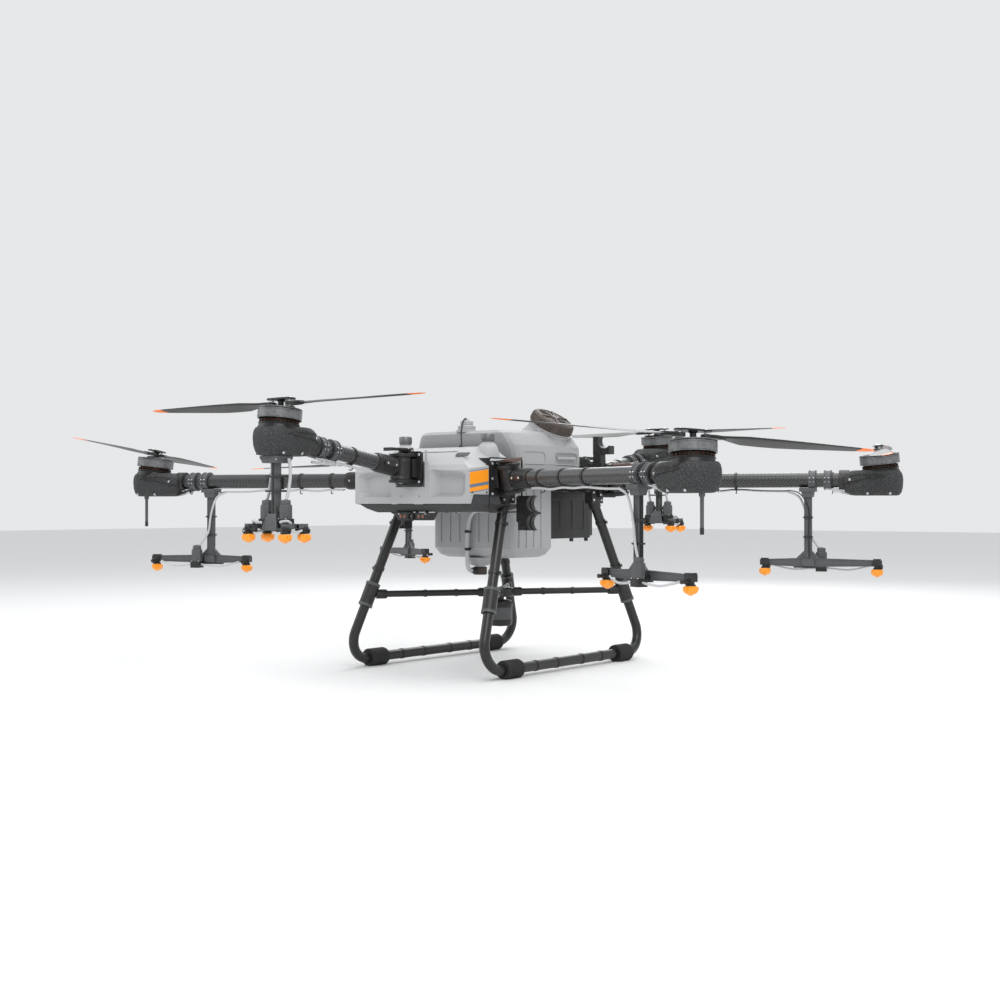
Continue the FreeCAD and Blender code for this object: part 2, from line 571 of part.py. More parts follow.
hose_y = -s("tank_low_front") - s("hose_gap")
hose_foot, hose_head = s("tank_bottom") - 36, s("tank_waist") - 60
hose_run = [(0, -s("outlet_y") - 36.1, hose_foot), (0, hose_y, hose_foot), (0, hose_y, hose_head), (70, hose_y, hose_head)]
node("tank_fittings", [
    rod("13", "32", ("0", "-tank_front - 1", "tank_top + 5.6")),
    fuse(rod("20", "26", ("0", "-outlet_y", "tank_bottom - 49.1")),
         rod("9", "36", ("0", "-outlet_y", "tank_bottom - 36"), (0, -1, 0))),
    pipe(hose_run, 6, 15)])

# ---------------------------------------------------------------- battery

bay = cut(box(("2 * bay_half", "bay_rear - bay_front", "bay_depth"),
              ("0", "(bay_rear + bay_front) / 2", "bay_bottom + bay_depth / 2")),
          box(("2 * (bay_half - bay_wall)", "bay_rear - bay_front", "bay_depth - 2 * bay_wall"),
              ("0", "(bay_rear + bay_front) / 2 + bay_wall", "bay_bottom + bay_depth / 2")))
hangers = both(lambda side: box(("8", "24", "rail_height + 12"), ("%d * (bay_half - 4)" % side, "bay_rear - 12",
                                "bay_bottom + bay_depth + rail_height / 2 + 6")))
posts = [rod("6", "10", ("%d * (bay_half - 8)" % side, at, "bay_bottom - 10"))
         for side in (1, -1) for at in ("bay_rear - 12", "bay_rear - 88")]
node("battery_bay", [fuse(bay, *(hangers + posts))])
battery = box(("2 * (bay_half - bay_wall - battery_gap)", "bay_rear - bay_front - 2 * bay_wall + battery_overhang",
               "bay_depth - 2 * (bay_wall + battery_gap)"),
              ("0", "(bay_rear + bay_front + battery_overhang) / 2 + bay_wall", "bay_bottom + bay_depth / 2"))
grip = cut(box(("120", "26", "20"), ("0", "bay_rear + battery_overhang + 12.9", "bay_bottom + bay_depth - 30")),
           box(("96", "18", "30"), ("0", "bay_rear + battery_overhang + 7", "bay_bottom + bay_depth - 30")))
pocket = rod("10 + gap / 2", "8", ("0", "bay_rear + battery_overhang - 7.9", "bay_bottom + 40"), (0, 1, 0))
node("battery", [cut(fuse(battery, grip), pocket)])
node("battery_button", [rod("10", "8", ("0", "bay_rear + battery_overhang - 4", "bay_bottom + 40"), (0, 1, 0))])

# ---------------------------------------------------------------- landing gear

def leg_side(side):
    """One continuous tube: nose leg, skid and tail leg, with curled skid ends."""
    foot = (side * s("leg_foot_x"), s("leg_foot_y"), s("leg_foot_z"))
    top = (side * s("leg_top_x"), s("leg_top_y"), s("leg_top_z"))
    skid = (side * s("skid_x"), s("leg_foot_y") + 31, s("skid_height"))
    path = [(top[0], -top[1], top[2]), (skid[0], -skid[1], skid[2]), skid, top]
    return pipe(path, s("leg_radius"), s("skid_bend"), s("leg_radius") - 2.5)


def along_leg(z):
    """Centre of the front-right leg's straight run at a height."""
    share = (z - s("skid_height")) / (s("leg_top_z") - s("skid_height"))
    x = s("skid_x") + (s("leg_top_x") - s("skid_x")) * share
    y = s("leg_foot_y") + 31 + (s("leg_top_y") - s("leg_foot_y") - 31) * share
    return x, y


leg_axis = V(s("leg_top_x") - s("skid_x"), -(s("leg_top_y") - s("leg_foot_y") - 31),
             s("leg_top_z") - s("skid_height")).normalize()


def leg_sleeve(x, y):
    px, py = along_leg(174)
    axis = (leg_axis.x * x, leg_axis.y * -y, leg_axis.z)
    return ring("leg_radius + 6", "leg_radius + 0.1", "70", (str(px * x), str(py * y), "174"), axis)


def leg_head(x, y):
    """Bracket that hangs the leg from the side rail."""
    block = box(("26", "56", "40"), ("%d * (leg_top_x + 4)" % x, "%d * (leg_top_y + 2)" % y, "leg_top_z + 6.6"))
    return block


def brace(x, y):
    """Half of a diagonal cross brace, from the centre block to a leg sleeve."""
    px, py = along_leg(s("brace_height"))
    reach_out = math.hypot(px, py)
    length = reach_out - 20 - 34
    axis = (px * x / reach_out, py * y / reach_out, 0)
    foot = (str(axis[0] * 34), str(axis[1] * 34), "brace_height")
    return rod("brace_radius", str(length), foot, axis)


legs = [fuse(leg_side(side), *[leg_head(side, y) for y in (1, -1)]) for side in (1, -1)]
bore_clear = [leg_sleeve(x, y) for x in (1, -1) for y in (1, -1)]
hub = fuse(rod("40", "26", ("0", "0", "brace_height - 13")), *corners(brace))
node("landing_gear", legs + bore_clear + [hub])
def sleeve(x, y):
    """Rubber sleeve with a flat sole where it meets the ground."""
    tube = ring("sleeve_radius", "skid_radius + 0.1", "sleeve_length",
                ("%d * skid_x" % x, "%d * sleeve_y - sleeve_length / 2" % y, "skid_height"), (0, 1, 0))
    return cut(tube, box(("2 * sleeve_radius", "sleeve_length + 4", "10"),
                         ("%d * skid_x" % x, "%d * sleeve_y" % y, "skid_height - sleeve_radius + sleeve_flat - 5")))


node("skid_sleeves", corners(sleeve))
radar = fuse(rod("radar_radius", "radar_depth", ("0", "0", "radar_top - radar_depth")),
             rod("12", "brace_height - 13 - radar_top - 0.5", ("0", "0", "radar_top")))
node("radar_head", [radar])

# ---------------------------------------------------------------- cradles

def low_cradle(x):
    """Hook below the nose socket that takes the stowed tail-side tube."""
    wall = "%d * (rail_x + cradle_step)" % x
    middle = "%d * (rail_x + cradle_step + 29)" % x
    saddle = "%d * (rail_x + cradle_step + 56)" % x
    plate = box(("6", "cradle_depth", "70"), (wall, "-low_cradle_y", "low_cradle_z + 10"))
    saddles = [rod("tube_radius + 2.5", "60", (saddle, "-low_cradle_y - 30", height), (0, 1, 0))
               for height in ("low_seat", "low_seat + seat_pitch")]
    seat = cut(box(("52", "cradle_depth", "94"), (middle, "-low_cradle_y", "low_cradle_z")), *saddles)
    return fuse(plate, seat)


def high_cradle(x):
    """Post beside the tank with an open saddle for the stowed nose-side tube."""
    post = box(("30", "cradle_depth - 8", "50"), ("%d * (rail_x + cradle_step + 9)" % x, "high_cradle_y - 3",
                                                "high_seat - 51"))
    foot = box(("14", "26", "18"), ("%d * (rail_x + cradle_step + 3.5)" % x, "high_cradle_y - 8", "high_seat - 83"))
    head = cut(box(("58", "cradle_depth - 8", "52"), ("%d * (rail_x + cradle_step + 22)" % x, "high_cradle_y",
                                                    "high_seat - 14")),
               rod("tube_radius + 1.5", "60", ("%d * (rail_x + cradle_step + 32)" % x, "high_cradle_y - 30",
                                              "high_seat"), (0, 1, 0)),
               box(("45", "60", "45"), ("%d * (rail_x + cradle_step + 56)" % x, "high_cradle_y", "high_seat + 7")))
    return fuse(post, foot, head)


node("arm_cradles", both(low_cradle) + both(high_cradle))

# ---------------------------------------------------------------- aerials, pumps, camera, controller

node("rtk_antennas", both(lambda side: fuse(
    rod("aerial_radius", "22", ("%d * aerial_x" % side, "-aerial_y", "aerial_top - 22")),
    cone("30", "14", "aerial_top - 22 - shell_top - 0.4", ("%d * aerial_x" % side, "-aerial_y", "shell_top + 0.4")))))
node("spray_pumps", both(lambda side: fuse(
    rod("30", "62", ("%d * 70" % side, "-215", "tray_bottom + 5"), (0, 0, 1)),
    box(("50", "50", "16"), ("%d * 70" % side, "-215", "tray_bottom + 78")))))
camera_box = outline("camera_outline", (
    ("-52", "tray_bottom - 22"), ("52", "tray_bottom - 22"), ("66", "tray_bottom - 0.5"), ("-66", "tray_bottom - 0.5")),
    "XZ_Plane", "34")
camera_place = doc.addObject("Part::Compound", "CameraBody")
camera_place.Links = [camera_box]
camera_place.Placement = FreeCAD.Placement(V(0, -s("tray_front") + 34, 0), FreeCAD.Rotation())
lens = rod("8", "6", ("0", "-tray_front + 11.5", "tray_bottom - 11"), (0, 1, 0))
node("camera_module", [fuse(camera_place, lens)])
node("flight_controller", [box(("120", "78", "34"), ("0", "-rail_end + 50", "arm_height + 28"))])

# ---------------------------------------------------------------- check and write

doc.recompute()
for item in doc.Objects:
    if {"Invalid", "Error"} & set(item.State):
        raise RuntimeError("failed: %s %s" % (item.Name, item.State))
for item in nodes:
    if item.Shape.isNull() or not item.Shape.isValid() or not item.Shape.Solids:
        raise RuntimeError("bad shape: " + item.Label)
for item in nodes:
    item.Shape.exportStep("parts/%s.step" % item.Label)
print(len(nodes), "sub-parts")
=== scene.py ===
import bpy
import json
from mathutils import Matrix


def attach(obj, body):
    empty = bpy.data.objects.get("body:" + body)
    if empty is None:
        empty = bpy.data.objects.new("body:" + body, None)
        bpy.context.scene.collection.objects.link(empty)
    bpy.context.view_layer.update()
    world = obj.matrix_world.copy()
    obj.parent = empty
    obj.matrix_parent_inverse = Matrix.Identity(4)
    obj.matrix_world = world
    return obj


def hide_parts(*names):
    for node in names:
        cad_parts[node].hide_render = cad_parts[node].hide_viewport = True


bl_info = {"name": "Spray drone builder", "version": (1, 0, 0), "blender": (4, 5, 0),
    "location": "View3D > Sidebar > Spray drone",
    "description": "Builds the looks of a six-arm crop sprayer around its CAD frame", "category": "Object",}

import json
import math
import random

import bpy
import bmesh
from mathutils import Matrix, Vector

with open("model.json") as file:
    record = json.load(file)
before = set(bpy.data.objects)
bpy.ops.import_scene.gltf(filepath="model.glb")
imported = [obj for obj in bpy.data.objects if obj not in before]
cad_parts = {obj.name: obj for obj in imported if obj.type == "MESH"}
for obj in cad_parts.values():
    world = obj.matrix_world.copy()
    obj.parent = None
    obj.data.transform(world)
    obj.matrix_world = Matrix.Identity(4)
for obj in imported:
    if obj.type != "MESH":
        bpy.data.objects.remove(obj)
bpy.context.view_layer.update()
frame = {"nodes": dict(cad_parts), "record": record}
JOINTS = {j["name"]: j for j in frame["record"]["behaviour"]["joints"]}
ARMS = ("front", "front_right", "rear_right", "rear", "rear_left", "front_left")
END_ARMS = ("front", "rear")
MM = 0.001
FULL_TURN = 2 * math.pi
X_AXIS, Z_AXIS = Vector((1, 0, 0)), Vector((0, 0, 1))
BOTH = (-1, 1)
QUARTERS = [(x, y) for x in BOTH for y in BOTH]


# ------------------------------------------------------------------ places read from the frame

def pivot(joint):
    return Vector(JOINTS[joint]["pos_m"])


def joint_axis(joint):
    return Vector(JOINTS[joint]["axis"]).normalized()


def arm_matrix(arm):
    """Arm frame: origin at the hinge, X outward, Z up."""
    hinge, motor = pivot(arm + "_arm_fold"), pivot(arm + "_rotor_spin")
    out = motor - hinge
    out.z = 0
    snapped = out.normalized()
    if arm in END_ARMS:
        snapped = Vector((0, math.copysign(1, out.y), 0))
    side = Z_AXIS.cross(snapped)
    turn = Matrix((snapped, side, Z_AXIS)).transposed().to_4x4()
    return Matrix.Translation(hinge) @ turn


def motor_matrix(arm):
    """Motor frame: origin under the bell, Z along the shaft, X as near the arm as the lean allows."""
    lean = joint_axis(arm + "_rotor_spin")
    base = arm_matrix(arm).to_3x3()
    local = base.transposed() @ lean
    turn = base @ Z_AXIS.rotation_difference(local).to_matrix()
    return Matrix.Translation(pivot(arm + "_rotor_spin")) @ turn.to_4x4()


def hinge_matrix(arm):
    """Hinge frame: the arm frame rolled so that Z follows the hinge pin."""
    base = arm_matrix(arm)
    pin = joint_axis(arm + "_arm_fold")
    if pin.z < 0:
        pin = -pin
    out = (base.to_3x3() @ X_AXIS)
    side = pin.cross(out).normalized()
    turn = Matrix((side.cross(pin), side, pin)).transposed().to_4x4()
    return Matrix.Translation(base.translation) @ turn


def seat_of(arm):
    """Motor foot in the arm frame."""
    return arm_matrix(arm).inverted() @ pivot(arm + "_rotor_spin")


def rotor_sign(arm):
    return 1 if ARMS.index(arm) % 2 == 0 else -1


def fold_hand(arm):
    """+1 where the arm folds toward its own left."""
    return -1 if arm in ("rear_right", "front_left") else 1


def at(x, y, z):
    return Matrix.Translation((x, y, z))


def turn_x(angle):
    return Matrix.Rotation(angle, 4, "X")


def turn_z(angle):
    return Matrix.Rotation(angle, 4, "Z")


# turns that stand a flat outline up: on a face that looks along Y, and on one that looks along X
UPRIGHT = Matrix(((1, 0, 0, 0), (0, 0, -1, 0), (0, 1, 0, 0), (0, 0, 0, 1)))
FACE_X = turn_z(math.pi / 2) @ turn_x(math.pi / 2)


# ------------------------------------------------------------------ mesh building

def face_outward(mesh):
    work = bmesh.new()
    work.from_mesh(mesh)
    bmesh.ops.recalc_face_normals(work, faces=work.faces)
    work.to_mesh(mesh)
    work.free()


class Shape:
    """Collects closed forms, then becomes one object with a rounded edge on every corner."""

    def __init__(self, name, home=None):
        self.name = name
        self.home = home or Matrix.Identity(4)
        self.points, self.faces, self.slots, self.uvs = [], [], [], []
        self.materials = []

    def slot(self, material):
        if material not in self.materials:
            self.materials.append(material)
        return self.materials.index(material)

    def add(self, form, material, matrix=None, uv=None):
        points, faces = form
        start = len(self.points)
        matrix = matrix or self.home
        self.points += [matrix @ Vector(p) for p in points]
        index = self.slot(material)
        for face in faces:
            self.faces.append([start + i for i in face])
            self.slots.append(index)
            self.uvs.append([uv[i] if uv else (0.0, 0.0) for i in face])
        return self

    def screw(self, radius, height, centre, axis=(0, 0, 1), matrix=None):
        head = hex_screw(radius, height, centre, axis)
        return self.add(head, "bright_alloy", matrix)

    def build(self, body, stands_for=(), slot=None, bevel=0.7, segments=2, angle=32):
        mesh = bpy.data.meshes.new(self.name)
        mesh.from_pydata([tuple(p) for p in self.points], [], self.faces)
        for material in self.materials:
            mesh.materials.append(MATERIALS[material])
        mesh.polygons.foreach_set("material_index", self.slots)
        layer = mesh.uv_layers.new(name="weave")
        layer.data.foreach_set("uv", [c for face in self.uvs for uv in face for c in uv])
        face_outward(mesh)
        mesh.shade_smooth()
        mesh.set_sharp_from_angle(angle=math.radians(40))
        item = bpy.data.objects.new(self.name, mesh)
        bpy.context.scene.collection.objects.link(item)
        if bevel:
            edge = item.modifiers.new("Rounded edges", "BEVEL")
            edge.width = bevel * MM
            edge.segments = segments
            edge.limit_method = "ANGLE"
            edge.angle_limit = math.radians(angle)
            edge.harden_normals = True
        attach(item, body)
        if stands_for:
            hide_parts(*stands_for)
        return item


def block(size, centre, taper=(1, 1)):
    """Box; taper scales the top in X and Y."""
    sx, sy, sz = (c / 2 for c in size)
    cx, cy, cz = centre
    points = []
    for z, fx, fy in ((-sz, 1, 1), (sz, taper[0], taper[1])):
        points += [(cx - sx * fx, cy - sy * fy, cz + z), (cx + sx * fx, cy - sy * fy, cz + z),
            (cx + sx * fx, cy + sy * fy, cz + z), (cx - sx * fx, cy + sy * fy, cz + z)]
    faces = [(3, 2, 1, 0), (4, 5, 6, 7), (0, 1, 5, 4), (1, 2, 6, 5), (2, 3, 7, 6), (3, 0, 4, 7)]
    return points, faces


def loft(rings, caps=True):
    """Skin through rings with the same number of points."""
    count = len(rings[0])
    points = [p for ring in rings for p in ring]
    faces = []
    for r in range(len(rings) - 1):
        for i in range(count):
            a, b = r * count + i, r * count + (i + 1) % count
            faces.append((a, b, b + count, a + count))
    if caps:
        faces.append(tuple(reversed(range(count))))
        faces.append(tuple(range((len(rings) - 1) * count, len(rings) * count)))
    return points, faces


def basis(axis):
    axis = Vector(axis).normalized()
    side = axis.orthogonal().normalized()
    return side, axis.cross(side)


def lathe(profile, centre=(0, 0, 0), axis=(0, 0, 1), sides=32):
    """Turned form: (radius, height) pairs along an axis; a closed profile starts and ends at radius 0."""
    side, up = basis(axis)
    axis, centre = Vector(axis).normalized(), Vector(centre)
    rings = []
    for radius, height in profile:
        radius = max(radius, 0.00005)
        rings.append([centre + axis * height + (side * math.cos(t) + up * math.sin(t)) * radius for t
            in (FULL_TURN * k / sides for k in range(sides))])
    return loft(rings)


def rod(radius, low, high, centre=(0, 0, 0), axis=(0, 0, 1), sides=32):
    return lathe([(0, low), (radius, low), (radius, high), (0, high)], centre, axis, sides)


def bush(outer, inner, low, high, centre=(0, 0, 0), axis=(0, 0, 1), sides=32):
    """Closed ring with a bore."""
    points, faces = lathe([(outer, low), (outer, high), (inner, high), (inner, low), (outer, low)],
        centre, axis, sides)
    return points, faces[:-2]


def extrude(outline, low, high, matrix=None):
    """Flat outline in XY pulled along Z."""
    count = len(outline)
    points = [(x, y, low) for x, y in outline] + [(x, y, high) for x, y in outline]
    if matrix:
        points = [matrix @ Vector(p) for p in points]
    faces = [tuple(reversed(range(count))), tuple(range(count, 2 * count))]
    faces += [(i, (i + 1) % count, (i + 1) % count + count, i + count) for i in range(count)]
    return points, faces


def smooth_path(points, steps=6):
    """Evenly eased curve through the given points."""
    points = [Vector(p) for p in points]
    padded = [2 * points[0] - points[1]] + points + [2 * points[-1] - points[-2]]
    path = []
    for i in range(1, len(padded) - 2):
        a, b, c, d = padded[i - 1:i + 3]
        for k in range(steps):
            t = k / steps
            path.append(0.5 * (2 * b + (c - a) * t + (2 * a - 5 * b + 4 * c - d) * t ** 2
                + (3 * b - a - 3 * c + d) * t ** 3))
    path.append(points[-1])
    return path


def hose(points, radius, sides=12, steps=6):
    """Round tube along a smooth path, with its frame carried along so that it doesn't twist."""
    path = smooth_path(points, steps)
    rings = []
    heading = (path[1] - path[0]).normalized()
    side = heading.orthogonal().normalized()
    for i, place in enumerate(path):
        ahead = (path[min(i + 1, len(path) - 1)] - path[max(i - 1, 0)]).normalized()
        side = (side - ahead * side.dot(ahead)).normalized()
        up = ahead.cross(side)
        rings.append([place + (side * math.cos(t) + up * math.sin(t)) * radius for t
            in (FULL_TURN * k / sides for k in range(sides))])
    return loft(rings)


def rounded_rect(half_x, half_y, corner, steps=5, centre=(0, 0)):
    points = []
    for sx, sy, start in ((1, 1, 0), (-1, 1, 1), (-1, -1, 2), (1, -1, 3)):
        for k in range(steps + 1):
            t = (start + k / steps) * math.pi / 2
            points.append((centre[0] + sx * (half_x - corner) + corner * math.cos(t),
                centre[1] + sy * (half_y - corner) + corner * math.sin(t)))
    return points


def hex_screw(radius, height, centre, axis=(0, 0, 1)):
    """Button head screw with a hexagon socket."""
    return lathe([(0, 0), (radius, 0), (radius, height * 0.5), (radius * 0.8, height),
        (radius * 0.45, height), (radius * 0.4, height * 0.4), (0, height * 0.4)], centre, axis, 12)


# ------------------------------------------------------------------ materials

MATERIALS = {}


def socket(group, name, way, kind, default=None):
    item = group.interface.new_socket(name=name, in_out=way, socket_type=kind)
    if default is not None:
        item.default_value = default
    return item


def wire(group, source, target):
    group.links.new(source, target)


def new_group(name, inputs, outputs):
    group = bpy.data.node_groups.new(name, "ShaderNodeTree")
    for label, kind, default in inputs:
        socket(group, label, "INPUT", kind, default)
    for label, kind in outputs:
        socket(group, label, "OUTPUT", kind)
    return group, group.nodes.new("NodeGroupInput"), group.nodes.new("NodeGroupOutput")


def node_of(group, kind, **settings):
    item = group.nodes.new(kind)
    for key, value in settings.items():
        setattr(item, key, value)
    return item


def math_node(group, operation, a, b):
    item = node_of(group, "ShaderNodeMath", operation=operation)
    for index, value in enumerate((a, b)):
        if isinstance(value, (int, float)):
            item.inputs[index].default_value = value
        else:
            wire(group, value, item.inputs[index])
    return item.outputs[0]


def mix_colour(group, factor, a, b, blend="MIX"):
    item = node_of(group, "ShaderNodeMix", data_type="RGBA", blend_type=blend)
    for index, value in ((0, factor), (6, a), (7, b)):
        if isinstance(value, (int, float, tuple)):
            item.inputs[index].default_value = value
        else:
            wire(group, value, item.inputs[index])
    return item.outputs[2]


def ramp(group, source, low, high, invert=False):
    item = node_of(group, "ShaderNodeMapRange", clamp=True)
    item.inputs[1].default_value = low
    item.inputs[2].default_value = high
    if invert:
        item.inputs[3].default_value, item.inputs[4].default_value = 1, 0
    wire(group, source, item.inputs[0])
    return item.outputs[0]


def build_grain_group():
    """Fine moulded grain with a slow drift of tone and a little settled dust."""
    group, inlet, outlet = new_group("Moulded grain", (("Colour", "NodeSocketColor", (0.5, 0.5, 0.5, 1)),
        ("Speck colour", "NodeSocketColor", (0.6, 0.6, 0.6, 1)), ("Grain scale", "NodeSocketFloat",
        900.0), ("Speck amount", "NodeSocketFloat", 0.0), ("Drift", "NodeSocketFloat", 0.1),
        ("Roughness", "NodeSocketFloat", 0.5)), (("Colour", "NodeSocketColor"),
        ("Roughness", "NodeSocketFloat"), ("Height", "NodeSocketFloat")))
    place = node_of(group, "ShaderNodeTexCoord").outputs["Object"]
    fine = node_of(group, "ShaderNodeTexNoise")
    wire(group, place, fine.inputs["Vector"])
    wire(group, inlet.outputs["Grain scale"], fine.inputs["Scale"])
    fine.inputs["Detail"].default_value = 4
    slow = node_of(group, "ShaderNodeTexNoise")
    wire(group, place, slow.inputs["Vector"])
    slow.inputs["Scale"].default_value = 9
    slow.inputs["Detail"].default_value = 5
    cells = node_of(group, "ShaderNodeTexVoronoi")
    wire(group, place, cells.inputs["Vector"])
    wire(group, inlet.outputs["Grain scale"], cells.inputs["Scale"])
    speck = ramp(group, fine.outputs[0], 0.52, 0.62)
    speck = math_node(group, "MULTIPLY", speck, inlet.outputs["Speck amount"])
    drift = math_node(group, "MULTIPLY", math_node(group, "SUBTRACT", slow.outputs[0], 0.5),
        inlet.outputs["Drift"])
    tone = math_node(group, "ADD", 1.0, drift)
    toned = node_of(group, "ShaderNodeVectorMath", operation="SCALE")
    wire(group, inlet.outputs["Colour"], toned.inputs[0])
    wire(group, tone, toned.inputs[3])
    wire(group, mix_colour(group, speck, toned.outputs[0], inlet.outputs["Speck colour"]),
        outlet.inputs["Colour"])
    gloss = math_node(group, "ADD", inlet.outputs["Roughness"], math_node(group, "MULTIPLY", drift, 1.2))
    wire(group, gloss, outlet.inputs["Roughness"])
    wire(group, math_node(group, "ADD", fine.outputs[0], cells.outputs[0]), outlet.inputs["Height"])
    return group


def build_wear_group():
    """Mask of rubbed edges, broken up by noise."""
    group, inlet, outlet = new_group("Rubbed edges", (("Amount", "NodeSocketFloat", 0.5),),
        (("Mask", "NodeSocketFloat"),))
    edge = node_of(group, "ShaderNodeNewGeometry").outputs["Pointiness"]
    sharp = ramp(group, edge, 0.53, 0.62)
    noise = node_of(group, "ShaderNodeTexNoise")
    wire(group, node_of(group, "ShaderNodeTexCoord").outputs["Object"], noise.inputs["Vector"])
    noise.inputs["Scale"].default_value = 120
    broken = ramp(group, noise.outputs[0], 0.42, 0.66)
    wire(group, math_node(group, "MULTIPLY", math_node(group, "MULTIPLY", sharp, broken),
        inlet.outputs["Amount"]), outlet.inputs["Mask"])
    return group


def build_weave_group():
    """Twill weave from metres along and around a tube: tone of each tow and its height."""
    group, inlet, outlet = new_group("Carbon weave", (("Tow", "NodeSocketFloat", 0.0035),),
        (("Tone", "NodeSocketFloat"), ("Height", "NodeSocketFloat")))
    uv = node_of(group, "ShaderNodeUVMap", uv_map="weave").outputs[0]
    parts = node_of(group, "ShaderNodeSeparateXYZ")
    wire(group, uv, parts.inputs[0])
    along = math_node(group, "DIVIDE", parts.outputs[0], inlet.outputs["Tow"])
    around = math_node(group, "DIVIDE", parts.outputs[1], inlet.outputs["Tow"])
    step = math_node(group, "ADD", math_node(group, "FLOOR", along, 0), math_node(group, "FLOOR", around,
        0))
    over = math_node(group, "LESS_THAN", math_node(group, "FLOORED_MODULO", step, 4.0), 2.0)
    hump_a = math_node(group, "SINE", math_node(group, "MULTIPLY", math_node(group, "FRACT", along, 0),
        math.pi), 0)
    hump_b = math_node(group, "SINE", math_node(group, "MULTIPLY", math_node(group, "FRACT", around,
        0), math.pi), 0)
    low = math_node(group, "MULTIPLY", hump_a, math_node(group, "SUBTRACT", 1.0, over))
    high = math_node(group, "MULTIPLY", hump_b, over)
    wire(group, math_node(group, "ADD", low, high), outlet.inputs["Height"])
    wire(group, over, outlet.inputs["Tone"])
    return group


def principled(name):
    material = bpy.data.materials.new(name)
    material.use_nodes = True
    tree = material.node_tree
    shader = [n for n in tree.nodes if n.type == "BSDF_PRINCIPLED"][0]
    return material, tree, shader


def rgba(colour):
    return (colour[0], colour[1], colour[2], 1.0)


def moulded(name, colour, rough=0.45, grain=900, bump=0.06, specks=0.0, speck=(0.5, 0.5, 0.5),
        drift=0.12, wear=0.25, wear_colour=None, metallic=0.0, coat=0.0, height=0.0004, specular=0.5):
    """Moulded plastic, foam, rubber or coated metal from the shared grain and wear groups."""
    material, tree, shader = principled(name)
    grain_node = node_of(tree, "ShaderNodeGroup", node_tree=bpy.data.node_groups["Moulded grain"])
    for label, value in (("Colour", rgba(colour)), ("Speck colour", rgba(speck)), ("Grain scale", grain),
            ("Speck amount", specks), ("Drift", drift), ("Roughness", rough)):
        grain_node.inputs[label].default_value = value
    wear_node = node_of(tree, "ShaderNodeGroup", node_tree=bpy.data.node_groups["Rubbed edges"])
    wear_node.inputs["Amount"].default_value = wear
    worn = wear_colour or tuple(min(1.0, c * 1.8 + 0.05) for c in colour)
    wire(tree, mix_colour(tree, wear_node.outputs[0], grain_node.outputs["Colour"], rgba(worn)),
        shader.inputs["Base Color"])
    wire(tree, grain_node.outputs["Roughness"], shader.inputs["Roughness"])
    relief = node_of(tree, "ShaderNodeBump")
    relief.inputs["Strength"].default_value = bump
    relief.inputs["Distance"].default_value = height
    wire(tree, grain_node.outputs["Height"], relief.inputs["Height"])
    wire(tree, relief.outputs[0], shader.inputs["Normal"])
    shader.inputs["Metallic"].default_value = metallic
    shader.inputs["Coat Weight"].default_value = coat
    shader.inputs["Coat Roughness"].default_value = 0.12
    shader.inputs["Specular IOR Level"].default_value = specular
    MATERIALS[name] = material
    return material, tree, shader, grain_node


def carbon(name):
    """Satin lacquered twill tube."""
    material, tree, shader = principled(name)
    weave = node_of(tree, "ShaderNodeGroup", node_tree=bpy.data.node_groups["Carbon weave"])
    weave.inputs["Tow"].default_value = 0.0026
    wire(tree, mix_colour(tree, weave.outputs["Tone"], (0.006, 0.006, 0.0065, 1), (0.04, 0.041, 0.043,
        1)), shader.inputs["Base Color"])
    wire(tree, math_node(tree, "ADD", 0.26, math_node(tree, "MULTIPLY", weave.outputs["Tone"],
        0.12)), shader.inputs["Roughness"])
    relief = node_of(tree, "ShaderNodeBump")
    relief.inputs["Strength"].default_value = 0.4
    relief.inputs["Distance"].default_value = 0.0004
    wire(tree, weave.outputs["Height"], relief.inputs["Height"])
    wire(tree, relief.outputs[0], shader.inputs["Normal"])
    shader.inputs["Coat Weight"].default_value = 0.35
    shader.inputs["Coat Roughness"].default_value = 0.2
    MATERIALS[name] = material


def blade_skin(name):
    """Satin composite blade whose last stretch is orange; the length runs along the first UV."""
    material, tree, shader, grain = moulded(name, (0.01, 0.0102, 0.0105), rough=0.4, grain=420,
        bump=0.02, wear=0.0, specular=0.3)
    parts = node_of(tree, "ShaderNodeSeparateXYZ")
    wire(tree, node_of(tree, "ShaderNodeUVMap", uv_map="weave").outputs[0], parts.inputs[0])
    tip = math_node(tree, "GREATER_THAN", parts.outputs[0], 0.905)
    wire(tree, mix_colour(tree, tip, grain.outputs["Colour"], (0.95, 0.2, 0.012, 1)),
        shader.inputs["Base Color"])


def translucent(name, colour, density):
    """Milky polyethylene that lets a little light through."""
    material, tree, shader, grain = moulded(name, colour, rough=0.42, grain=300, bump=0.03, wear=0.05,
        drift=0.06)
    shader.inputs["Subsurface Weight"].default_value = density
    shader.inputs["Subsurface Radius"].default_value = (0.02, 0.02, 0.022)
    shader.inputs["Subsurface Scale"].default_value = 0.5


def clear_lens(name):
    material, tree, shader = principled(name)
    shader.inputs["Base Color"].default_value = (0.02, 0.02, 0.03, 1)
    noise = node_of(tree, "ShaderNodeTexNoise")
    noise.inputs["Scale"].default_value = 60
    wire(tree, math_node(tree, "MULTIPLY", noise.outputs[0], 0.12), shader.inputs["Roughness"])
    shader.inputs["Coat Weight"].default_value = 1.0
    MATERIALS[name] = material


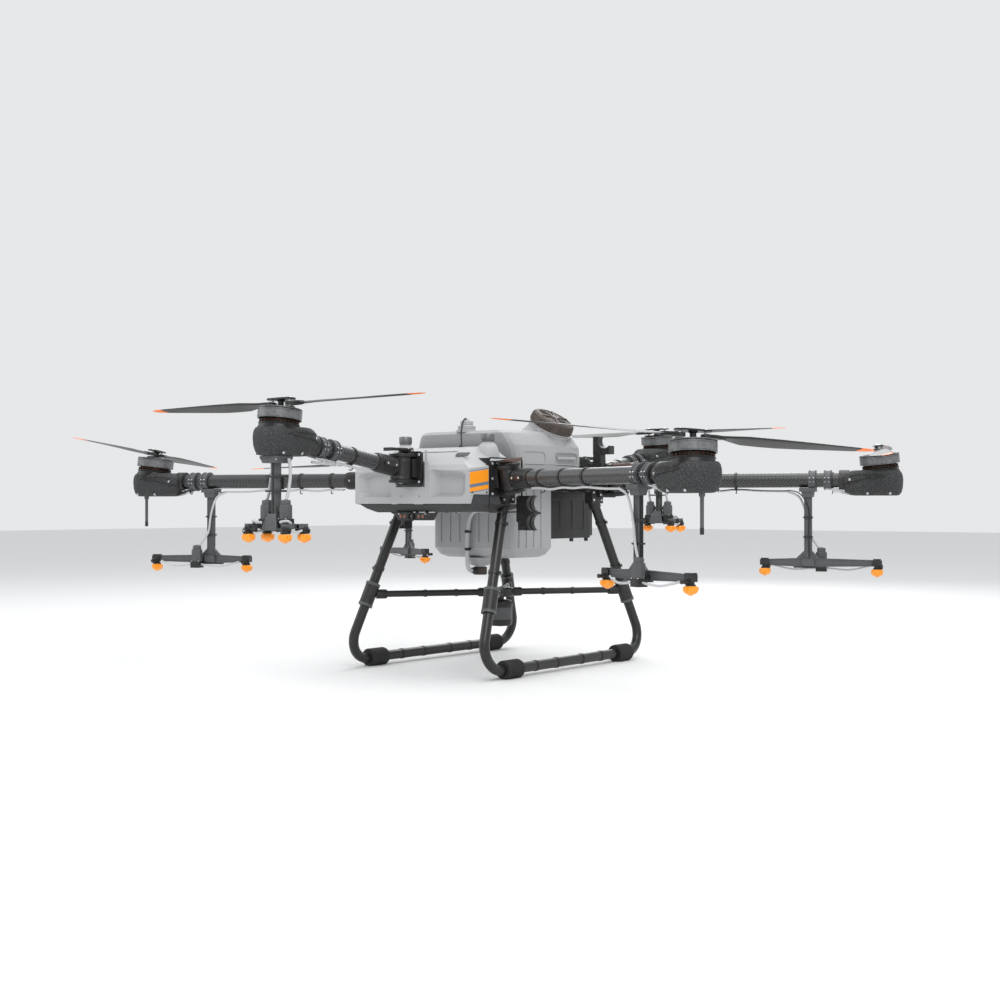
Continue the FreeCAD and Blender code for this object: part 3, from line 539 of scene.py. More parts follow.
class SprayDroneFinish(bpy.types.PropertyGroup):
    """Colours and sizes of the finish."""

    shell: bpy.props.FloatVectorProperty(name="Shell", description="Colour of the nose shell",
        subtype="COLOR", size=3, min=0, max=1, default=(0.4, 0.405, 0.41))
    tank: bpy.props.FloatVectorProperty(name="Tank", description="Colour of the liquid tank",
        subtype="COLOR", size=3, min=0, max=1, default=(0.36, 0.365, 0.37))
    accent: bpy.props.FloatVectorProperty(name="Accent",
        description="Colour of nozzle caps and stripes", subtype="COLOR", size=3, min=0, max=1,
        default=(1.0, 0.33, 0.012))
    coating: bpy.props.FloatVectorProperty(name="Coating",
        description="Colour of the coated leg tubes", subtype="COLOR", size=3, min=0, max=1,
        default=(0.009, 0.0092, 0.0096))


class SprayDroneStudio(bpy.types.PropertyGroup):
    """Camera and light."""

    camera_place: bpy.props.FloatVectorProperty(name="Camera place",
        description="Where the camera stands", subtype="TRANSLATION", size=3, default=(2.506, -3.145,
        0.459))
    azimuth: bpy.props.FloatProperty(name="Azimuth",
        description="Turn of the view from the nose axis", subtype="ANGLE", default=math.radians(38.55))
    pitch: bpy.props.FloatProperty(name="Pitch", description="Lift of the view", subtype="ANGLE",
        default=math.radians(0.22))
    lens: bpy.props.FloatProperty(name="Lens", description="Focal length in millimetres", default=49.64)
    brightness: bpy.props.FloatProperty(name="Brightness",
        description="Strength of the surrounding light", default=0.85, min=0)


def finish_settings():
    return bpy.context.scene.spray_drone_finish


def build_materials():
    """Shared node groups and materials."""
    look = finish_settings()
    build_grain_group()
    build_wear_group()
    build_weave_group()
    carbon("carbon_tube")
    blade_skin("blade_composite")
    translucent("tank_plastic", tuple(look.tank), 0.25)
    clear_lens("lens_glass")
    moulded("shell_plastic", tuple(look.shell), rough=0.5, grain=1400, bump=0.1, wear=0.1, drift=0.04)
    moulded("pod_foam", (0.021, 0.0215, 0.0225), rough=0.7, grain=420, bump=0.55, specks=0.5,
        speck=(0.125, 0.127, 0.13), wear=0.12, height=0.0012)
    moulded("tray_plastic", (0.026, 0.027, 0.028), rough=0.62, grain=600, bump=0.5, specks=0.45,
        speck=(0.13, 0.13, 0.135), height=0.0008)
    moulded("nylon_black", (0.011, 0.011, 0.0115), rough=0.4, grain=1200, bump=0.12, wear=0.35)
    moulded("nylon_grey", (0.075, 0.077, 0.079), rough=0.48, grain=1100, bump=0.15, wear=0.2)
    moulded("frame_composite", (0.011, 0.011, 0.012), rough=0.5, grain=900, bump=0.15, wear=0.3)
    moulded("motor_alloy", (0.16, 0.163, 0.168), rough=0.38, grain=1600, bump=0.03, metallic=0.6,
        wear=0.35, drift=0.015, wear_colour=(0.45, 0.45, 0.47))
    moulded("dark_alloy", (0.016, 0.016, 0.017), rough=0.35, grain=1500, bump=0.05, metallic=0.4,
        wear=0.4, drift=0.03, wear_colour=(0.3, 0.3, 0.31))
    moulded("bright_alloy", (0.62, 0.63, 0.64), rough=0.26, grain=1500, bump=0.04, metallic=1.0, wear=0.2)
    moulded("leg_alloy", tuple(look.coating), rough=0.36, grain=700, bump=0.06, wear=0.2, coat=0.1)
    moulded("sleeve_rubber", (0.012, 0.012, 0.012), rough=0.75, grain=800, bump=0.4, wear=0.1, drift=0.25)
    moulded("accent_plastic", tuple(look.accent), rough=0.32, grain=900, bump=0.05, wear=0.1,
        wear_colour=(1.0, 0.55, 0.12), coat=0.25)
    moulded("hose_white", (0.5, 0.51, 0.52), rough=0.25, grain=500, bump=0.03, wear=0.0, drift=0.08)
    moulded("cap_plastic", (0.045, 0.032, 0.025), rough=0.5, grain=700, bump=0.3, specks=0.3,
        speck=(0.16, 0.12, 0.1), wear=0.4)
    moulded("lever_brown", (0.1, 0.065, 0.052), rough=0.5, grain=800, bump=0.2, wear=0.4)
    moulded("battery_plastic", (0.05, 0.051, 0.053), rough=0.5, grain=900, bump=0.2, wear=0.2)
    moulded("copper", (0.045, 0.022, 0.014), rough=0.45, grain=600, bump=0.2, metallic=1.0, wear=0.0)
    moulded("led_amber", (0.3, 0.08, 0.015), rough=0.3, grain=900, bump=0.02, wear=0.0)
    moulded("stripe_blue", (0.12, 0.2, 0.28), rough=0.4, grain=900, bump=0.02, wear=0.0)


# ------------------------------------------------------------------ arms

END_SLOPE = math.radians(8.5)


def tube_tilt(arm):
    """Turn that follows the arm tube's slope, in the arm frame."""
    return Matrix.Rotation(-END_SLOPE, 4, "Y") if arm in END_ARMS else Matrix.Identity(4)


def tube_form(start, end, radius, sides=40, rows=60):
    """Plain tube whose UVs are metres along and around, so that the weave has no seam."""
    points, faces, uvs = [], [], []
    for r in range(rows + 1):
        x = start + (end - start) * r / rows
        for k in range(sides + 1):
            t = FULL_TURN * k / sides
            points.append((x, radius * math.cos(t), radius * math.sin(t)))
            uvs.append((x, radius * t))
    step = sides + 1
    for r in range(rows):
        for k in range(sides):
            a = r * step + k
            faces.append((a, a + step, a + step + 1, a + 1))
    return (points, faces), uvs


def along_x(profile, sides=32):
    """Turned form whose profile is (distance along X, radius)."""
    return lathe([(radius, x) for x, radius in profile], axis=(1, 0, 0), sides=sides)


def rib_ring(x, radius, width, high, sides=40):
    return along_x([(x - width / 2, radius), (x - width / 2, radius + high),
        (x + width / 2, radius + high), (x + width / 2, radius)], sides)


def build_arm_tube(arm):
    """Woven tube, ribbed root collar, knuckle, ring clips and their hooks."""
    side_arm = arm not in END_ARMS
    frame_m = arm_matrix(arm)
    tilt = frame_m @ tube_tilt(arm)
    reach = seat_of(arm).x
    shape = Shape("tube_" + arm, tilt)
    form, uvs = tube_form(0.03, reach + 0.04, 0.0209)
    shape.add(form, "carbon_tube", tilt, uvs)
    inner, _ = tube_form(0.03, reach + 0.04, 0.0184)
    shape.add(inner, "dark_alloy")
    collar = [(0.03, 0.022), (0.03, 0.0245), (0.036, 0.026), (0.04, 0.026), (0.041, 0.0245)]
    for k in range(6):
        x = 0.046 + k * 0.0085
        collar += [(x, 0.0245), (x + 0.0006, 0.0258), (x + 0.0052, 0.0258), (x + 0.0058, 0.0245)]
    collar += [(0.1, 0.0245), (0.1035, 0.0232), (0.1035, 0.0211)]
    shape.add(along_x(collar, 48), "nylon_black")
    knuckle = hinge_matrix(arm)
    shape.add(bush(0.0279, 0.0072, -0.0298, 0.0298, sides=48), "frame_composite", knuckle)
    for z in (-0.0235, 0.0235):
        shape.add(bush(0.0286, 0.024, z - 0.0035, z + 0.0035, sides=48), "dark_alloy", knuckle)
    for k in range(5):
        z = -0.016 + k * 0.008
        shape.add(block((0.006, 0.038, 0.003), (0.0275, 0, z)), "frame_composite", knuckle)
    shape.add(block((0.018, 0.03, 0.032), (0.0365, 0, 0)), "frame_composite")
    for side in BOTH:
        shape.add(block((0.05, 0.006, 0.012), (0.066, side * 0.0262, 0)), "nylon_black")
        for x in (0.05, 0.082):
            shape.screw(0.0032, 0.003, (x, side * 0.0288, 0), (0, side, 0))
    clips = (0.15, 0.25, 0.35, 0.62) if side_arm else (0.19, 0.3)
    for x in clips:
        shape.add(rib_ring(x, 0.0208, 0.0072, 0.0021), "nylon_black")
        shape.add(block((0.0072, 0.008, 0.007), (x, 0, -0.0255)), "nylon_black")
        shape.add(hose([(x, 0.004, -0.028), (x, 0.009, -0.033), (x, 0.004, -0.0375),
            (x, -0.004, -0.036)], 0.0014, 8), "nylon_black")
    return shape.build("arm_" + arm, ("arm_tube_" + arm,), "carbon_tube", bevel=0.5, segments=2)


def pod_sections(reach, rise, spread=0.0):
    """Rings of the motor casing: rounded, belly narrower, nose longer at the tube side."""
    rings = []
    levels = ((-0.044, 0.036, 0.016, 0.03), (-0.0425, 0.024, 0.01, 0.038), (-0.034, 0.01, 0.004, 0.047),
        (-0.02, 0.003, 0.001, 0.0525), (-0.002, 0.0, 0.0, 0.0548), (0.01, 0.003, 0.001, 0.0545),
        (0.019, 0.012, 0.004, 0.0525), (0.0245, 0.022, 0.008, 0.049), (0.0258, 0.03, 0.012, 0.044))
    for z, cut_in, cut_out, half in levels:
        inner, outer = reach - 0.104 + cut_in, reach + 0.062 - cut_out
        middle, length = (inner + outer) / 2, (outer - inner) / 2
        ring = []
        for k in range(64):
            t = FULL_TURN * k / 64
            c, q = math.cos(t), math.sin(t)
            power = 2.0 / (3.4 if c > 0 else 2.7)
            x = middle + (length + spread) * math.copysign(abs(c) ** power, c)
            y = (half + spread) * math.copysign(abs(q) ** (2.0 / 2.9), q)
            ring.append((x, y, rise + z))
        rings.append(ring)
    return rings


def swoosh(reach, rise, side):
    """Raised trim that runs from the tube side back along the flank."""
    outline = [(-0.1, 0.006), (-0.07, 0.0125), (-0.035, 0.0145), (0.005, 0.0125), (0.02, 0.0095),
        (0.0, 0.0045), (-0.03, 0.0015), (-0.06, -0.0035), (-0.085, -0.01), (-0.0985, -0.012)]
    points = []
    for lift in (0.0006, 0.0026):
        for x, z in outline:
            t = (x - -0.021) / 0.083
            half = 0.0548 * (max(0.0, 1 - abs(t) ** 2.8)) ** (1 / 2.8)
            points.append((reach + x, side * (half + lift), rise + z))
    count = len(outline)
    faces = [tuple(reversed(range(count))), tuple(range(count, 2 * count))]
    faces += [(i, (i + 1) % count, (i + 1) % count + count, i + count) for i in range(count)]
    return points, faces


def build_pod(arm):
    """Speckled casing with dark trim, bottom seam, screws, cable glands and the motor's fixed foot."""
    side_arm = arm not in END_ARMS
    frame_m = arm_matrix(arm)
    seat = seat_of(arm)
    reach = seat.x
    rise = 0.0 if side_arm else reach * math.tan(END_SLOPE)
    shape = Shape("pod_" + arm, frame_m)
    shape.add(loft(pod_sections(reach, rise)), "pod_foam")
    seam = pod_sections(reach, rise, 0.0007)[2]
    shape.add(loft([[(x, y, rise + z) for x, y, _ in seam] for z in (-0.0315, -0.0285)]), "nylon_black")
    for side in BOTH:
        shape.add(swoosh(reach, rise, side), "nylon_black")
        for x, z in ((-0.078, 0.0), (-0.03, -0.038), (0.03, -0.038)):
            y = 0.0548 * (max(0.0, 1 - abs((x + 0.021) / 0.083) ** 2.8)) ** (1 / 2.8)
            y = min(y, 0.0475 if z < -0.03 else y)
            shape.screw(0.0036, 0.0034, (reach + x, side * (y - 0.0008), rise + z), (0, side, 0))
    tilt = frame_m @ tube_tilt(arm)
    inner = reach - 0.104
    shape.add(bush(0.0285, 0.0211, inner - 0.006, inner + 0.02, axis=(1, 0, 0), sides=40),
        "nylon_black", tilt)
    motor = motor_matrix(arm)
    foot = [(0, -0.04), (0.05, -0.04), (0.0515, -0.034), (0.0515, -0.02), (0.049, -0.0165),
        (0.049, -0.0135), (0.0505, -0.012), (0.0505, -0.0095), (0.046, -0.0088), (0.046, -0.0012),
        (0, -0.0012)]
    shape.add(lathe(foot, sides=56), "dark_alloy", motor)
    for k in range(24):
        t = FULL_TURN * k / 24
        turn = turn_z(t)
        shape.add(block((0.0045, 0.0085, 0.0062), (0.0462, 0, -0.0052)), "copper", motor @ turn)
    shape.add(rod(0.0058, 0, 0.03, sides=20), "bright_alloy", motor)
    for y in (-0.012, 0.012):
        shape.add(hose([(reach - 0.06, y, rise - 0.04), (reach - 0.09, y, rise - 0.038),
            (reach - 0.125, y * 0.8, rise * 0.75 - 0.027), (reach - 0.15, y * 0.6,
            rise * 0.7 - 0.0235)], 0.0036, 12), "hose_white" if y < 0 else "nylon_black")
    if arm in ("front_left", "front_right"):
        x, base = reach + 0.03, rise - 0.044
        shape.add(lathe([(0, 0.001), (0.007, 0.001), (0.007, -0.006), (0.0052, -0.009), (0.0045, -0.01),
            (0.0043, -0.072), (0.0045, -0.0735), (0.0045, -0.0905), (0.0035, -0.0915), (0, -0.0915)],
            (x, 0, base), sides=20), "nylon_grey")
        shape.add(bush(0.0047, 0.004, -0.091, -0.076, (x, 0, base), sides=20), "nylon_black")
    return shape.build("arm_" + arm, ("motor_pod_" + arm,), "pod_foam", bevel=0.9, segments=2, angle=38)


def build_rotor(arm):
    """Satin bell with a spoked, vented top and the two plates that grip the blades."""
    motor = motor_matrix(arm)
    first = pivot(arm + "_blade_a_fold")
    local = motor.inverted() @ first
    hub = motor @ turn_z(math.atan2(local.y, local.x))
    shape = Shape("rotor_hub_" + arm, hub)
    shape.add(bush(0.0538, 0.0505, 0.0008, 0.0235, sides=72), "motor_alloy", motor)
    shape.add(bush(0.0532, 0.05, 0.0235, 0.0262, sides=72), "dark_alloy", motor)
    shape.add(bush(0.0538, 0.046, 0.0262, 0.0284, sides=72), "motor_alloy", motor)
    for z in (0.0032, 0.0205):
        shape.add(bush(0.05395, 0.053, z - 0.0004, z + 0.0004, sides=72), "dark_alloy", motor)
    shape.add(rod(0.049, 0.0215, 0.0228, sides=48), "dark_alloy", motor)
    for k in range(12):
        turn = turn_z(FULL_TURN * k / 12)
        shape.add(block((0.034, 0.005, 0.005), (0.033, 0, 0.0256)), "dark_alloy", motor @ turn)
    shape.add(bush(0.018, 0.0062, 0.0206, 0.0288, sides=40), "dark_alloy", motor)
    grip = rounded_rect(0.046, 0.013, 0.012, 6)
    shape.add(extrude(grip, 0.0288, 0.0326), "dark_alloy")
    shape.add(extrude(grip, 0.0497, 0.0535), "dark_alloy")
    shape.add(extrude(rounded_rect(0.03, 0.0085, 0.008, 6), 0.0535, 0.0548), "nylon_black")
    shape.add(lathe([(0, 0.029), (0.0105, 0.029), (0.0105, 0.0352), (0.0075, 0.0375), (0.0075, 0.045),
        (0.0105, 0.0472), (0.0105, 0.05), (0, 0.05)], sides=28), "dark_alloy")
    for side in BOTH:
        shape.add(rod(0.0039, 0.0288, 0.0545, (side * 0.032, 0, 0), sides=20), "bright_alloy")
        shape.screw(0.0058, 0.0022, (side * 0.032, 0, 0.0535))
        shape.add(bush(0.0072, 0.0042, 0.0535, 0.0541, (side * 0.032, 0, 0), sides=24), "dark_alloy")
        for y in (-0.006, 0.006):
            shape.screw(0.0021, 0.0012, (side * 0.016, y, 0.0546))
    return shape.build("prop_" + arm, ("rotor_" + arm,), "motor_alloy", bevel=0.35, segments=2)


BLADE_LAYOUT = ((0.01, 10.5, -10.5, 7.6, 0), (0.03, 11.0, -11.5, 7.4, 1), (0.05, 12.0, -15.0, 6.8, 5),
    (0.075, 14.5, -24.0, 6.2, 10), (0.105, 16.5, -31.5, 5.8, 14), (0.15, 17.0, -35.0, 5.4, 13),
    (0.2, 17.0, -36.5, 5.0, 12), (0.26, 16.0, -34.0, 4.4, 10), (0.315, 14.5, -29.5, 3.9, 8.5),
    (0.36, 13.0, -25.0, 3.4, 7.5), (0.4, 11.5, -20.5, 2.9, 6.5), (0.425, 10.0, -16.5, 2.5, 6),
    (0.44, 7.5, -13.0, 2.2, 5.5), (0.4475, 4.0, -9.5, 1.8, 5), (0.45, 1.0, -6.0, 1.2, 5))


def blade_form(hand):
    """Twisted wing: rounded nose, thin tail; its UV is the share of the span and of the chord."""
    profile = ((1.0, 0.0), (0.9, 0.34), (0.7, 0.5), (0.4, 0.52), (0.0, 0.44), (-0.45, 0.27), (-0.8, 0.1),
        (-1.0, 0.0), (-0.8, -0.12), (-0.45, -0.24), (0.0, -0.36), (0.4, -0.4), (0.7, -0.36), (0.9, -0.24))
    rings, uvs = [], []
    for x, ahead, behind, thick, pitch in BLADE_LAYOUT:
        tilt = math.radians(pitch) * hand
        ring = []
        for along, up in profile:
            across = along * (ahead if along > 0 else -behind)
            y, z = across * hand * MM, thick * up * MM
            ring.append((x, y * math.cos(tilt) - z * math.sin(tilt), y * math.sin(tilt) + z
                * math.cos(tilt)))
            uvs.append((x / 0.4506, along))
        rings.append(ring)
    return loft(rings), uvs


def build_blade(arm, letter):
    """Folding blade: moulded eye, stiffened root and orange tip."""
    hand = rotor_sign(arm)
    joint = "%s_blade_%s_fold" % (arm, letter)
    node = "blade_%s_%s" % (arm, letter)
    place = pivot(joint)
    up = joint_axis(arm + "_rotor_spin")
    corners = [Vector(v.co) - place for v in frame["nodes"][node].data.vertices]
    tip = max(corners, key=lambda v: v.length)
    far = [v for v in corners if v.length > tip.length - 0.004]
    out = sum(far, Vector()) / len(far)
    out = (out - up * out.dot(up)).normalized()
    swing = math.radians(-0.4 * hand)
    out = Matrix.Rotation(swing, 3, up) @ out
    side = up.cross(out).normalized()
    turn = Matrix((out, side, up)).transposed().to_4x4()
    matrix = Matrix.Translation(place) @ turn
    shape = Shape("wing_%s_%s" % (arm, letter), matrix)
    form, uvs = blade_form(hand)
    shape.add(form, "blade_composite", matrix, uvs)
    shape.add(bush(0.0118, 0.0043, -0.004, 0.004, sides=36), "nylon_black")
    shape.add(bush(0.0072, 0.0042, -0.0046, 0.0046, sides=28), "bright_alloy")
    shape.add(extrude([(0.006, -0.0095), (0.024, -0.0095), (0.04, -0.006 - 0.003 * (hand > 0)),
        (0.052, 0.0), (0.04, 0.006 + 0.003 * (hand < 0)), (0.024, 0.0095), (0.006, 0.0095)], -0.0041,
        0.0041), "nylon_black")
    return shape.build("blade_%s_%s" % (arm, letter), (node,), "blade_composite", bevel=0.25,
        segments=2, angle=50)


def lobed(radius, lobes, depth, sides=60):
    return [((radius + depth * math.cos(lobes * t)) * math.cos(t), (radius + depth * math.cos(lobes * t))
        * math.sin(t)) for t in (FULL_TURN * k / sides for k in range(sides))]


def add_nozzle(shape, matrix, accent="accent_plastic", turn=0.0):
    """Nozzle hanging from z 0: fitting, ribbed orange bayonet cap, pointed tip and the knob on its side."""
    matrix = matrix @ turn_z(turn)
    shape.add(lathe([(0, 0.018), (0.0085, 0.018), (0.0105, 0.0155), (0.0105, 0.009), (0.0085, 0.0075),
        (0.0085, 0.003), (0.0115, 0.0015), (0.0115, -0.003), (0, -0.003)], sides=28), "nylon_black", matrix)
    rings = []
    for z, radius, depth in ((-0.0012, 0.0128, 0.0003), (-0.0035, 0.0152, 0.0007),
            (-0.0085, 0.016, 0.001), (-0.014, 0.0152, 0.001), (-0.0175, 0.0125, 0.0007),
            (-0.0195, 0.009, 0.0003)):
        rings.append([(x, y, z) for x, y in lobed(radius, 10, depth)])
    shape.add(loft(rings), accent, matrix)
    shape.add(lathe([(0, -0.018), (0.0075, -0.018), (0.007, -0.0205), (0.0045, -0.0222),
        (0.0018, -0.0224), (0, -0.0224)], sides=24), accent, matrix)
    shape.add(bush(0.0032, 0.0014, -0.0228, -0.0205, sides=20), "bright_alloy", matrix)
    for k in range(2):
        spin = matrix @ turn_z(math.pi * k)
        shape.add(block((0.006, 0.011, 0.008), (0.0155, 0, -0.0075)), accent, spin)
    shape.add(lathe([(0, 0.008), (0.0072, 0.008), (0.0072, 0.0135), (0.0055, 0.0155), (0, 0.0155)],
        (0, 0, 0.006), (0, 1, 0), 20), "nylon_black", matrix)
    shape.screw(0.0026, 0.0012, (0, 0.0155, 0.006), (0, 1, 0), matrix)
    shape.add(lathe([(0, 0.006), (0.0058, 0.006), (0.0058, 0.015), (0.0046, 0.016), (0.0046, 0.024),
        (0.0052, 0.0245), (0.0052, 0.0275), (0, 0.0275)], (0, 0, 0.0085), (-1, 0, 0), 20),
        "nylon_black", matrix)


def add_valve(shape, matrix, height=0.05):
    """Eight-sided grey valve on a black base, with a spigot at the side."""
    def octagon(radius):
        return [(radius * math.cos(FULL_TURN * (k + 0.5) / 8),
            radius * math.sin(FULL_TURN * (k + 0.5) / 8)) for k in range(8)]
    shape.add(extrude(rounded_rect(0.015, 0.015, 0.003), -0.018, 0.001), "nylon_black", matrix)
    levels = ((0.001, 0.0155), (0.004, 0.0162), (height - 0.018, 0.0162), (height - 0.013, 0.015),
        (height - 0.012, 0.0125), (height - 0.004, 0.0125), (height - 0.001, 0.0105))
    rings = [[(x, y, z) for x, y in octagon(radius)] for z, radius in levels]
    shape.add(loft(rings), "nylon_grey", matrix)
    for sx, sy in QUARTERS:
        shape.screw(0.0022, 0.0018, (sx * 0.012, sy * 0.012, 0.001), matrix=matrix)
    shape.add(lathe([(0, 0), (0.0042, 0), (0.0042, 0.006), (0.0034, 0.0068), (0.0034, 0.012), (0, 0.012)],
        (0, 0, -0.008), (0, -1, 0), 16), "nylon_black", matrix)
    shape.add(hex_screw(0.0045, 0.0018, (0, 0, height - 0.0015)), "nylon_black", matrix)


def h_clamp(shape, x, matrix):
    """Two-part strap round the tube, with slots and screws."""
    shape.add(bush(0.0265, 0.0211, x - 0.0095, x + 0.0095, axis=(1, 0, 0), sides=40), "nylon_grey", matrix)
    for edge in (-0.0082, 0.0082):
        shape.add(bush(0.0282, 0.0262, x + edge - 0.0018, x + edge + 0.0018, axis=(1, 0, 0),
            sides=40), "nylon_grey", matrix)
    for side in BOTH:
        shape.add(block((0.019, 0.009, 0.0095), (x, side * 0.0295, 0)), "nylon_grey", matrix)
        shape.add(block((0.0145, 0.0095, 0.0022), (x, side * 0.0295, 0)), "nylon_black", matrix)
        for dx in (-0.005, 0.005):
            shape.screw(0.0026, 0.0022, (x + dx, side * 0.0295, 0.0046), matrix=matrix)
            shape.screw(0.0026, 0.0022, (x + dx, side * 0.0295, -0.0046), (0, 0, -1), matrix)


def plank(low_x, high_x, foot_x, height, depth, drop):
    """Cross bar seen from the side: tall at the strut, tapering to angled ends."""
    z_mid = height / 2
    end = height * 0.36
    return [(low_x, -drop - end), (low_x + 0.01, -drop + end), (foot_x - 0.03, -drop + z_mid),
        (foot_x + 0.03, -drop + z_mid), (high_x - 0.01, -drop + end), (high_x, -drop - end),
        (foot_x + 0.03, -drop - z_mid), (foot_x - 0.03, -drop - z_mid)]


def ribbed_plate(shape, outline, depth, material, matrix, rim=0.0016):
    """Thin moulded web with a raised rim all round, drawn in X and Z."""
    shape.add(extrude(outline, -depth / 2 + 0.0014, depth / 2 - 0.0014), material, matrix @ UPRIGHT)
    centre = Vector((sum(p[0] for p in outline) / len(outline), sum(p[1] for p in outline) / len(outline)))
    count = len(outline)
    for i in range(count):
        a, b = Vector(outline[i]), Vector(outline[(i + 1) % count])
        along = (b - a)
        if along.length < 0.001:
            continue
        along.normalize()
        inward = Vector((-along.y, along.x))
        if inward.dot(centre - (a + b) / 2) < 0:
            inward = -inward
        strip = [tuple(a), tuple(b), tuple(b + inward * rim), tuple(a + inward * rim)]
        shape.add(extrude(strip, -depth / 2, depth / 2), material, matrix @ UPRIGHT)


def build_side_boom(arm):
    """Strut, tapered cross bar, valve, hoses and two nozzles below a side arm."""
    frame_m = arm_matrix(arm)
    reach = seat_of(arm).x
    hand = fold_hand(arm)
    x0, drop = reach - 0.196, 0.232
    shape = Shape("boom_" + arm, frame_m)
    h_clamp(shape, x0 + 0.0125, frame_m)
    h_clamp(shape, x0 + 0.0545, frame_m)
    shape.add(block((0.046, 0.04, 0.011), (x0, 0, -0.0272)), "nylon_grey")
    shape.add(block((0.03, 0.024, 0.016), (x0, 0, -0.04), (1.15, 1.25)), "nylon_grey")
    stem = [(x0 - 0.0105, -0.036), (x0 + 0.0105, -0.036), (x0 + 0.0105, -drop + 0.02),
        (x0 + 0.016, -drop + 0.01), (x0 - 0.016, -drop + 0.01), (x0 - 0.0105, -drop + 0.02)]
    ribbed_plate(shape, stem, 0.0135, "nylon_grey", frame_m, 0.0028)
    shape.add(block((0.0035, 0.0128, drop - 0.052), (x0, 0, -(drop + 0.026) / 2)), "nylon_grey")
    low_x, high_x = x0 - 0.121 - 0.006, x0 + 0.188 + 0.006
    ribbed_plate(shape, plank(low_x, high_x, x0, 0.024, 0.008, drop), 0.0095, "nylon_grey", frame_m, 0.003)
    for side in BOTH:
        shape.add(extrude([(x0 + side * 0.01, -drop + 0.034), (x0 + side * 0.034, -drop + 0.011),
            (x0 + side * 0.01, -drop + 0.01)], -0.0035, 0.0035), "nylon_grey", frame_m @ UPRIGHT)
    shape.add(block((0.034, 0.024, 0.02), (x0, 0, -drop)), "nylon_grey")
    shape.add(block((0.09, 0.01, 0.004), (x0 + 0.005, 0, -drop - 0.0135)), "nylon_black")
    for x in (x0 - 0.121, x0 + 0.188):
        shape.add(block((0.026, 0.018, 0.016), (x, 0, -drop)), "nylon_black")
        shape.add(block((0.02, 0.0205, 0.004), (x, 0, -drop + 0.01)), "nylon_black")
        add_nozzle(shape, frame_m @ at(x, 0, -0.248), turn=math.pi / 2 * (1 if hand > 0 else -1))
    valve_x, valve_y = x0 + 0.034, -hand * 0.025
    add_valve(shape, frame_m @ at(valve_x, valve_y, -drop - 0.008))
    shape.add(block((0.03, 0.014, 0.016), (valve_x, -hand * 0.0085, -drop - 0.006)), "nylon_black")
    for x, bend in ((x0 - 0.121, -1), (x0 + 0.188, 1)):
        near = Vector((x - bend * 0.021, -hand * 0.008, -0.2395))
        shape.add(hose([(valve_x + bend * 0.014, valve_y, -drop - 0.016), (valve_x + bend * 0.034,
            valve_y * 1.05, -drop - 0.018), ((valve_x + near.x) / 2 + bend * 0.01, valve_y * 0.95,
            -drop - 0.0205), (near.x - bend * 0.018, valve_y * 0.6, -drop - 0.013), tuple(near)], 0.003,
            12), "hose_white")

    # feed hose and cable: along the tube's underside, then down the strut to the valve
    wobble = random.Random(arm)
    run = [(0.112, -hand * 0.006, -0.0265)]
    for x in (0.15, 0.2, 0.25, 0.3, 0.35, 0.42, 0.48):
        sag = 0.0 if x in (0.15, 0.25, 0.35) else wobble.uniform(0.002, 0.006)
        run.append((x, -hand * 0.006 + wobble.uniform(-0.001, 0.001), -0.0262 - sag))
    shape.add(hose(run + [(x0 - 0.06, -hand * 0.01, -0.032), (x0 - 0.028, -hand * 0.0125, -0.046),
        (x0 - 0.012, -hand * 0.0125, -0.078), (x0 - 0.004, -hand * 0.0118, -0.11),
        (x0 + 0.002, -hand * 0.0122, -0.15), (x0 + 0.014, -hand * 0.018, -0.172), (valve_x, valve_y,
        -drop + 0.03)], 0.0031, 12, 5), "hose_white")
    shape.add(hose([(x, -y * 0.9, z + 0.001) for x, y, z in run] + [(x0 - 0.045, 0.01 * hand, -0.03),
        (x0 - 0.02, 0.0095 * hand, -0.04), (x0 + 0.002, 0.0085 * hand, -0.08), (x0 + 0.002, 0.0085 * hand,
        -0.15), (x0 + 0.004, 0.0085 * hand, -drop + 0.016)], 0.0016, 8, 4), "nylon_black")
    for z in (-0.105, -0.16):
        shape.add(block((0.026, 0.021, 0.0045), (x0, 0, z)), "nylon_black")
    near, far = x0 + 0.075, reach - 0.104
    shape.add(block((far - near + 0.004, 0.02, 0.008), ((near + far) / 2, 0, -0.0265)), "bright_alloy")
    shape.add(block((0.012, 0.024, 0.012), (near, 0, -0.0285)), "hose_white")
    return shape.build("arm_" + arm, ("spray_boom_" + arm,), "boom_plastic", bevel=0.5, segments=2)


